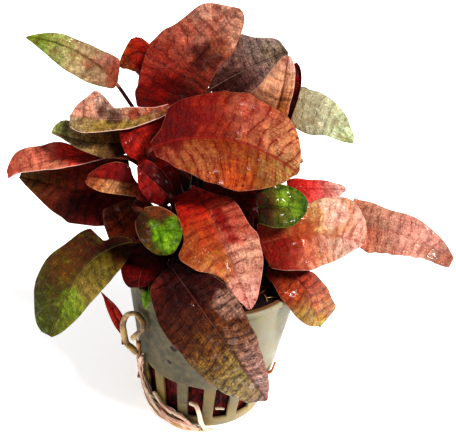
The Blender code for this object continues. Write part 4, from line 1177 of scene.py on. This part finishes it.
def net_pot():
    """The pot's wall, lip and floor with every slot cut, as one closed skin rounded by subdivision."""
    outer, inner = pot_profile()
    floor_rows = range(1, 4)
    wall_rows = [k for k in range(len(outer) - 1)
                 if outer[k][1] >= SLOT_BOTTOM and outer[k + 1][1] <= SLOT_TOP]
    pitch = 360 / SLOT_COUNT
    half = SLOT_DEGREES / 2
    steps = [-half, -half + SLOT_CORNER_DEGREES, 0, half - SLOT_CORNER_DEGREES,
             half, half + RIB_CORNER_DEGREES, pitch / 2, pitch - half - RIB_CORNER_DEGREES]
    edges = [FIRST_SLOT_DEGREES + k * pitch + step for k in range(SLOT_COUNT) for step in steps]
    sectors = len(edges)
    rows = len(outer)
    uneven = np.random.default_rng(SLOT_SEED).normal(0, SLOT_UNEVENNESS, sectors)
    shell = Shell()
    points = [(0, 0, 0), (0, 0, WALL)]
    for profile in (outer, inner):
        for radius, height in profile:
            for sector, degrees in enumerate(edges):
                angle = math.radians(degrees)
                lift = uneven[sector] if abs(height - SLOT_TOP) < 0.01 else 0.0
                points.append((radius * math.sin(angle), -radius * math.cos(angle), height + lift))

    def index(side, row, sector):
        return 2 + (side * rows + row) * sectors + sector % sectors

    def is_open(row, sector):
        if row < 0 or row >= rows - 1:
            return False
        step = sector % len(steps)
        turn = sector // len(steps) % SLOT_COUNT
        return step < 4 and (row in wall_rows or (row in floor_rows and turn % 2 == 0))

    faces = []
    for sector in range(sectors):
        after = sector + 1
        faces.append((0, index(0, 0, after), index(0, 0, sector)))
        faces.append((1, index(1, 0, sector), index(1, 0, after)))
        faces.append((index(0, rows - 1, sector), index(0, rows - 1, after),
                      index(1, rows - 1, after), index(1, rows - 1, sector)))
        for row in range(rows - 1):
            corners = ((row, sector), (row, after), (row + 1, after), (row + 1, sector))
            if not is_open(row, sector):
                faces.append(tuple(index(0, r, s) for r, s in corners))
                faces.append(tuple(index(1, r, s) for r, s in reversed(corners)))
                continue
            beyond = ((row - 1, sector), (row, after), (row + 1, sector), (row, sector - 1))
            for k, (near_row, near_sector) in enumerate(beyond):
                if not is_open(near_row, near_sector % sectors):
                    (row_a, side_a), (row_b, side_b) = corners[k], corners[(k + 1) % 4]
                    faces.append((index(0, row_a, side_a), index(0, row_b, side_b),
                                  index(1, row_b, side_b), index(1, row_a, side_a)))
    shell.add(points, faces)
    item = shell.make("fine_net_pot", pot_material())
    rounding = item.modifiers.new("rounding", "SUBSURF")
    rounding.levels = 2
    rounding.render_levels = 2
    dress(item, "pot_plastic", "net_pot")


def pot_material():
    """Cloudy grey-white plastic with painted shade, darker olive towards its left side and partly algae
    there, with more algae under the lip and dark specks.
    """
    g = Graph("cloudy_plastic")
    place = g.object_place()
    x, y, z = (g.over(part, MM) for part in g.split(place))
    soft = g.noise(place, 9.0, 3.0)
    # Painted shade: the plastic turns darker olive towards the left side, away from the key light; part of
    # it is algae growth
    sideways = g.plus(x, g.times(g.minus(soft, 0.5), 14.0))
    stain = g.smooth(sideways, -17.0, 20.0, 1.0, 0.0)
    colour = g.mix(stain, linear("plastic_clean"), linear("plastic_shade_and_algae"))
    cloudy = g.noise(place, 2.6, 4.0, 0.6)
    colour = g.stain(colour, g.smooth(cloudy, 0.35, 0.7, 0.0, 0.35), "taupe")
    high = g.smooth(z, 36.0, 47.0)
    algae = g.times(g.smooth(g.noise(place, 4.0, 4.0, 0.6), 0.48, 0.66), high)
    colour = g.stain(colour, g.times(algae, 0.55), "sage")
    crumbs = g.smooth(g.noise(place, 0.9, 3.0, 0.6), 0.66, 0.72)
    crumbs = g.times(crumbs, g.smooth(z, 41.0, 46.0))
    colour = g.stain(colour, g.times(crumbs, 0.8), "olive_brown")
    low = g.times(g.smooth(z, 16.0, 22.0, 1.0, 0.0), g.smooth(soft, 0.4, 0.65, 0.1, 0.5))
    colour = g.stain(colour, low, "khaki")
    cells = g.node("ShaderNodeTexVoronoi", {"Vector": place, "Scale": 1 / (5.5 * MM)}, feature="F1")
    specks = g.smooth(cells.outputs[0], 0.07, 0.1, 0.9, 0.0)
    specks = g.times(specks, g.smooth(g.noise(place, 9.0), 0.5, 0.55))
    colour = g.stain(colour, specks, "brown")
    for degrees, height, size in POT_FLECKS:
        middle = [part * MM for part in on_wall(degrees, height, 0.0)]
        away = g.over(g.vector_math("DISTANCE", place, middle).outputs["Value"], MM)
        away = g.plus(away, g.times(g.noise(place, 0.8), 0.6))
        colour = g.stain(colour, g.smooth(away, size + 0.2, size + 0.5, 1.0, 0.0), "night_maroon")
    distance = g.math("SQRT", g.plus(g.math("POWER", x, 2.0), g.math("POWER", y, 2.0)))
    slope = (RIM_RADIUS - LIP_PROUD - BASE_RADIUS) / POT_HEIGHT
    inner_skin = g.minus(distance, g.times(z, slope))
    inner_skin = g.smooth(inner_skin, BASE_RADIUS - 1.0, BASE_RADIUS - 0.7, 1.0, 0.0)
    colour = g.stain(colour, g.times(inner_skin, 0.85), "brown")
    lip_edge = g.smooth(distance, RIM_RADIUS - 0.9, RIM_RADIUS - 0.4, 0.8, 0.0)
    lip_edge = g.times(lip_edge, g.smooth(z, POT_HEIGHT - 1.5, POT_HEIGHT - 0.9))
    colour = g.stain(colour, lip_edge, "olive_brown")
    grain = g.noise(place, 0.5, 2.0)
    g.set(Base_Color=colour, Roughness=g.smooth(cloudy, 0.3, 0.7, 0.38, 0.55), Specular_IOR_Level=0.25,
          Subsurface_Weight=0.25, Subsurface_Scale=0.002, Normal=g.bump(grain, 0.02, 0.4))
    return g.material


# Growing medium, roots and runner

def circle(radius, angles, height):
    """Points round the pot's axis, one for each angle."""
    return np.column_stack([radius * np.sin(angles), -radius * np.cos(angles), angles * 0 + height])


def growing_medium():
    """Packed dark fibre, lumpy on top."""
    shell = Shell()
    floor = WALL + 0.5
    heights = np.concatenate([[floor, 2.6], np.linspace(4, 46, 24), [48.0, MEDIUM_TOP - 0.4]])
    rings = []
    for height in heights:
        rings.append((wall_radius(height) - MEDIUM_INSET - (2.0 if height < 2.5 else 0.0), height))
    for share in (0.93, 0.85, 0.76, 0.66, 0.55, 0.44, 0.33, 0.22, 0.11):
        rings.append((wall_radius(MEDIUM_TOP) * share, MEDIUM_TOP))
    angles = 2 * math.pi * np.arange(MEDIUM_SECTORS) / MEDIUM_SECTORS
    rows = []
    for radius, height in rings:
        lumps = wander(radius * np.sin(angles) / MEDIUM_LUMP,
                       radius * np.cos(angles) / MEDIUM_LUMP + height / MEDIUM_LUMP, MEDIUM_SEED)
        if height == MEDIUM_TOP:
            rows.append(circle(radius, angles, height - 0.2 + 0.45 * lumps))
        else:
            rows.append(circle(radius - 0.15 + 0.25 * np.minimum(lumps, 0.3), angles, height))
    points = np.vstack(rows + [[0, 0, floor], [0, 0, MEDIUM_TOP]])
    shell.add(points, skin_faces(len(rings), MEDIUM_SECTORS))
    item = shell.make("fine_growing_medium", medium_material())
    dress(item, "medium_fibre", "growing_medium")


def loose_fibres():
    """Thin wet fibres that lie over the growing medium, inside the rim."""
    shell = Shell()
    draw = np.random.default_rng(FIBRE_SEED)
    for _ in range(FIBRE_COUNT):
        turn, heading = draw.uniform(0, 2 * math.pi, 2)
        distance = FIBRE_REACH * math.sqrt(draw.uniform(0, 1))
        length = draw.uniform(3.0, 7.0)
        along = np.linspace(-0.5, 0.5, 12)
        bow = draw.uniform(-1.5, 1.5)
        ahead = length * along
        aside = bow * along ** 2
        x = distance * math.sin(turn) + ahead * math.cos(heading) - aside * math.sin(heading)
        y = distance * math.cos(turn) + ahead * math.sin(heading) + aside * math.cos(heading)
        fits = np.hypot(x, y) < FIBRE_REACH
        if fits.sum() < 4:
            continue
        z = MEDIUM_TOP + 0.1 + draw.uniform(0.0, 0.5) * (1 - 4 * along ** 2)
        path = np.column_stack([x, y, z])[fits]
        shell.add(*tube(path, np.full(len(path), draw.uniform(0.08, 0.16)), 6))
    item = shell.make("loose_fibres", root_material("loose_fibre_skin", "root_tan", "medium_red", 0.6))
    dress(item, "medium_fibre")


def medium_material():
    """Dark wet fibre in upright strands, darker towards the top."""
    g = Graph("wet_fibre")
    place = g.object_place()
    z = g.over(g.split(place)[2], MM)
    stretched = g.node("ShaderNodeMapping", {"Vector": place, "Scale": (1.0, 1.0, 0.25)}).outputs[0]
    strands = g.noise(stretched, 0.7, 4.0, 0.65)
    colour = g.mix(g.smooth(strands, 0.4, 0.65), linear("medium_dark"), linear("medium_red"))
    colour = g.stain(colour, g.smooth(z, 40.0, 48.0), "medium_dark")
    g.set(Base_Color=colour, Roughness=0.75, Specular_IOR_Level=0.25, Normal=g.bump(strands, 0.4, 0.9))
    return g.material


def smooth_path(points, count):
    """Points of the smooth curve through the given points."""
    points = np.array(points, float)
    knots = np.vstack([2 * points[0] - points[1], points, 2 * points[-1] - points[-2]])
    path = []
    for position in np.linspace(0, len(points) - 1, count):
        k = min(int(position), len(points) - 2)
        f = position - k
        path.append(curve_point(*knots[k:k + 4], f))
    return np.array(path)


def root_material(name, pale, dark, wet=0.3):
    """Root or runner skin: pale, with darker stretches and fine lengthwise grain."""
    g = Graph(name)
    place = g.object_place()
    patches = g.noise(place, 4.0, 4.0, 0.6)
    colour = g.mix(g.smooth(patches, 0.38, 0.66), linear(pale), linear(dark))
    fine = g.noise(place, 0.5, 3.0)
    colour = g.stain(colour, g.smooth(fine, 0.5, 0.7, 0.0, 0.25), "brown")
    g.set(Base_Color=colour, Roughness=0.42, Coat_Weight=wet, Coat_Roughness=0.15,
          Normal=g.bump(fine, 0.08, 0.7))
    g.glow(colour, 0.1)
    return g.material


def add_strand(name, slot, material, points, radius, taper, rootlets=0, spread=0.5):
    """A root along a path, uneven in girth, with thinner rootlets that wander beside it."""
    shell = Shell()
    draw = np.random.default_rng(sum(ord(letter) for letter in name))
    path = smooth_path(points, STRAND_POINTS)
    share = np.linspace(0, 1, STRAND_POINTS)
    girth = radius * (1 - (1 - taper) * share) * (1 + 0.12 * wander(share * 9, share * 0, len(name)))
    shell.add(*tube(path, girth, 12))
    for k in range(rootlets):
        start, end = sorted(draw.uniform(0, 1, 2))
        if end - start < 0.3:
            start, end = max(0.0, start - 0.2), min(1.0, end + 0.2)
        last = STRAND_POINTS - 1
        part = path[int(start * last):int(end * last) + 1]
        along = np.linspace(0, 1, len(part))
        seed = 31 * k + len(name)
        aside = np.column_stack([wander(along * 4.5, along * 0, seed + axis) for axis in range(3)])
        beside = part + aside * spread
        beside[:, 2] = np.maximum(beside[:, 2], 0.35)
        outermost = np.linalg.norm(part[:, :2], axis=1) + 0.3
        pull_in = np.minimum(1.0, outermost / np.linalg.norm(beside[:, :2], axis=1))
        beside[:, :2] *= pull_in[:, None]
        thin = radius * draw.uniform(0.4, 0.65) * (1 - 0.5 * along)
        shell.add(*tube(beside, thin, 8))
    item = shell.make("fine_" + name, material)
    dress(item, slot, name)


# The roots: skin, path in degrees from the front, height and distance from the wall, radius and taper,
# and for some the number of rootlets and how far they wander
ROOTS = {
    "root_left_outer": (
        "tan", [(-64, 23, 0.6), (-70, 16, 0.7), (-70, 10, 0.8), (-64, 4.5, 0.7), (-53, 1.6, 0.8),
                (-36, 1.2, 1.4), (-14, 1.1, 2.0), (10, 1.0, 1.7)], 0.6, 0.9, 30, 0.9),
    "root_left_inner": (
        "pink", [(-57, 20, 0.8), (-62, 14, 1.2), (-59, 8.5, 1.2), (-49, 5, 1.2), (-34, 3.0, 1.6),
                 (-14, 2.2, 1.8), (0, 1.6, 1.8)], 0.5, 0.9, 24, 1.1),
    "root_front_curled": (
        "pale", [(-9, 11.4, 0.2), (-4, 12, 1.2), (-1, 9, 1.8), (1, 5, 1.8), (5, 1.8, 2.0), (9, 0.9, 2.0)],
        0.7, 0.9),
    "root_front_short": ("pale", [(13, 9.6, 0.1), (15, 10.6, 0.9), (18.5, 10.4, 1.2)], 0.5, 0.7),
    "root_front_foot": (
        "pink", [(-44, 8.8, 0.8), (-35, 6.4, 1.0), (-24, 5.4, 1.1), (-13, 4, 1.2), (-6, 2.2, 1.6)],
        0.55, 0.8, 10, 0.6),
    "root_right_tip": ("orange", [(60, 16.5, -0.2), (61, 17.6, 1.2), (62, 21.5, 1.4)], 0.5, 0.6),
    "root_left_back": (
        "tan", [(-117, 16, 0.3), (-115, 12, 1.3), (-110, 5, 1.5), (-99, 1.4, 1.7), (-84, 0.9, 1.8)],
        0.7, 0.7, 4, 0.6),
    "root_back": (
        "tan", [(172, 12, 0.2), (175, 7, 1.3), (186, 1.5, 1.6), (206, 0.9, 1.5)], 0.65, 0.6, 3, 0.5),
}


def roots():
    """All the roots round the pot's foot."""
    skins = {"pale": root_material("root_skin_pale", "root_pale", "root_pink"),
             "pink": root_material("root_skin_pink", "root_pink", "root_pale"),
             "tan": root_material("root_skin_tan", "root_tan", "root_pink"),
             "orange": root_material("root_skin_orange", "orange", "burnt")}
    for name, (skin, path, *girth) in ROOTS.items():
        add_strand(name, "root", skins[skin], [on_wall(*spot) for spot in path], *girth)


def runner():
    """The bent runner on the pot's left side and the young leaf that it carries."""
    skin = root_material("runner_skin", "runner_tan", "runner_brown")
    path = [(-19.4, -13.3, 22.9), (-20.5, -13.7, 24.9), (-22, -13, 25.8), (-22.8, -12.7, 28.5),
            (-23.2, -12.6, 33), (-21.9, -13.2, 36.9), (-19.5, -15, 39.2), (-17.6, -16.6, 38.4),
            (-17.4, -16.9, 35.8), (-18.6, -16.6, 33.6), (-20, -16, 31.2)]
    add_strand("runner", "runner", skin, path, 0.9, 0.8)
    add_leaf(
        "leaf_red", "runner_leaf", root=(-23.5, -10.3, 24.4), base=(-23.7, -10.3, 26.4),
        middle=(-25.5, -10.2, 33.4), tip=(-29.6, -10.6, 41.9), face=(0.1, -0.9, 0.2),
        left=(1, 1.6, 1.7, 1.3, 0.5), ends=(0.5, 0.8), stalk=0.4, wavy=0.05, puckers=0.0, edge_wave=0.05)


def rhizome():
    """A material of its own for the stem base, which keeps its solid."""
    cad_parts["rhizome"].data.materials.clear()
    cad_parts["rhizome"].data.materials.append(root_material("rhizome_skin", "brown", "night_maroon"))


# Stage, lights and camera

def stage():
    """The white ground, an even white sky and one soft sun."""
    bpy.ops.mesh.primitive_plane_add(size=FLOOR_SIZE, location=(0, 0, -FLOOR_DROP))
    floor = bpy.context.object
    floor.name = "floor"
    g = Graph("floor_white")
    g.set(Base_Color=FLOOR_COLOUR, Roughness=0.9, Specular_IOR_Level=0.0,
          Emission_Color=WHITE, Emission_Strength=FLOOR_GLOW)
    floor.data.materials.append(g.material)

    world = bpy.data.worlds.new("studio")
    world.use_nodes = True
    background = world.node_tree.nodes["Background"]
    background.inputs[0].default_value = WHITE
    background.inputs[1].default_value = SKY_STRENGTH
    bpy.context.scene.world = world

    light = bpy.data.lights.new("key", "SUN")
    light.energy = KEY_STRENGTH
    light.angle = math.radians(KEY_DEGREES)
    lamp = bpy.data.objects.new("key", light)
    lamp.rotation_euler = Vector(KEY_DIRECTION).to_track_quat("Z", "Y").to_euler()
    bpy.context.collection.objects.link(lamp)
    bpy.context.scene.view_settings.view_transform = "Standard"
    bpy.context.scene.view_settings.look = "High Contrast"


def camera():
    """The photograph's view."""
    data = bpy.data.cameras.new("camera")
    data.sensor_width = SENSOR_WIDTH
    data.lens = FOCAL_PIXELS / IMAGE_WIDTH * SENSOR_WIDTH
    data.clip_start = NEAREST_VIEW
    item = bpy.data.objects.new("camera", data)
    turn = Matrix([Vector(axis) for axis in (RIGHT, UP, BACK)]).transposed().to_4x4()
    item.matrix_world = Matrix.Translation(Vector(EYE * MM)) @ turn
    bpy.context.collection.objects.link(item)
    bpy.context.scene.camera = item


camera()
stage()
net_pot()
growing_medium()
loose_fibres()
rhizome()
back_leaves()
left_leaves()
middle_leaves()
right_leaves()
runner()
roots()
